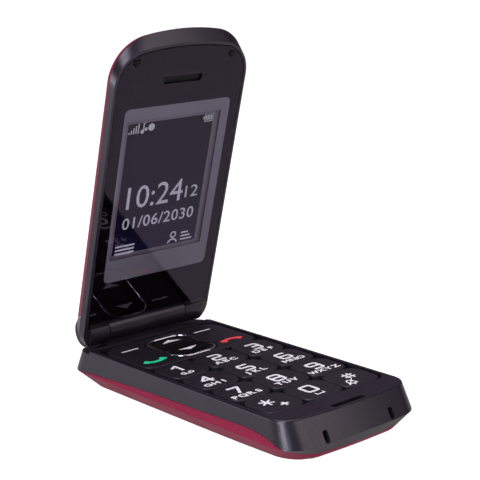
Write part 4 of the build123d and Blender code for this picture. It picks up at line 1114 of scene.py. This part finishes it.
@dataclass
class Studio:
    """Camera with its angles in degrees, pale floor, even room light and soft lamps."""

    camera_mm: Place = (-242.77, -308.72, 138.84)
    azimuth: float = -40.189
    elevation: float = 12.953
    roll: float = -1.777
    lens: float = 99.66
    sensor: float = 36.0
    clip: tuple[float, float] = (0.01, 50.0)
    floor_half: float = 6.0
    floor_z: float = -0.0001
    room: str = "#584b5a"
    backdrop: str = "#ffffff"
    warm: str = "#fcebf7"
    cool: str = "#ece7fb"
    flank: Place = (-0.03, -0.07, 0.01)

    def camera(self) -> None:
        """Add the camera."""
        a, e, r = radians(self.azimuth), radians(self.elevation), radians(self.roll)
        back = Vector((sin(a) * cos(e), -cos(a) * cos(e), sin(e)))
        right = Vector((cos(a), sin(a), 0))
        up = back.cross(right)
        turned_right = right * cos(r) + up * sin(r)
        turned_up = up * cos(r) - right * sin(r)
        data = bpy.data.cameras.new("camera")
        data.lens, data.sensor_width = self.lens, self.sensor
        data.clip_start, data.clip_end = self.clip
        camera = add_object("camera", data)
        turn = Matrix((turned_right, turned_up, back)).transposed().to_4x4()
        camera.matrix_world = Matrix.Translation(Vector(self.camera_mm) * MM) @ turn
        bpy.context.scene.camera = camera

    def floor(self) -> None:
        """Add the pale floor under the handset."""
        mesh = bmesh.new()
        bmesh.ops.create_grid(mesh, x_segments=1, y_segments=1, size=self.floor_half)
        data = bpy.data.meshes.new("floor")
        mesh.to_mesh(data)
        mesh.free()
        floor = add_object("floor", data)
        floor.location = (0, 0, self.floor_z)
        PaperSweep("matt_studio_paper").dress(floor)

    def world(self) -> None:
        """Even, dim room light, with a white backdrop for the camera alone."""
        world = bpy.data.worlds.new("studio")
        bpy.context.scene.world = world
        world.use_nodes = True
        tree = world.node_tree
        tree.nodes.clear()
        by_camera = add_node(tree, "ShaderNodeLightPath").outputs["Is Camera Ray"]
        room, seen = (
            add_node(tree, "ShaderNodeBackground", {"Color": linear(colour), "Strength": 1.0})
            for colour in (self.room, self.backdrop)
        )
        mixed = add_node(tree, "ShaderNodeMixShader", links={0: by_camera, 1: room, 2: seen})
        add_node(tree, "ShaderNodeOutputWorld", links={"Surface": mixed})

    def lamps(self) -> tuple[Softbox, ...]:
        """Two small low lamps for the side band and its front corner, and three large ones."""
        return (
            Softbox("side_softbox", (-0.45, 0.33, 0.13), self.flank, 0.1, 0.14, 0.6, self.cool),
            Softbox("corner_softbox", (-0.3, -0.16, 0.1), self.flank, 0.1, 0.1, 0.42, self.cool),
            Softbox("left_softbox", (-0.42, -0.22, 0.58), (0, 0, 0.06), 0.35, 0.35, 2.6, self.cool),
            Softbox("front_softbox", (0.25, -0.85, 0.5), (0, 0, 0.03), 0.9, 0.5, 2.9, self.warm),
            Softbox("top_softbox", (0.2, 0.3, 1.0), (0, 0, 0), 0.8, 0.8, 4.4, self.warm),
        )

    def build(self) -> None:
        """Add camera, floor, world and lamps."""
        bpy.context.scene.view_settings.view_transform = "Standard"
        self.camera()
        self.floor()
        self.world()
        for lamp in self.lamps():
            lamp.build()


def main() -> None:
    """Build the handset's looks and the studio."""
    logging.basicConfig(level=logging.INFO, format="%(message)s")
    for part in (Studio(), Base(), Keypad(), Lid()):
        part.build()


if __name__ == "__main__":
    main()
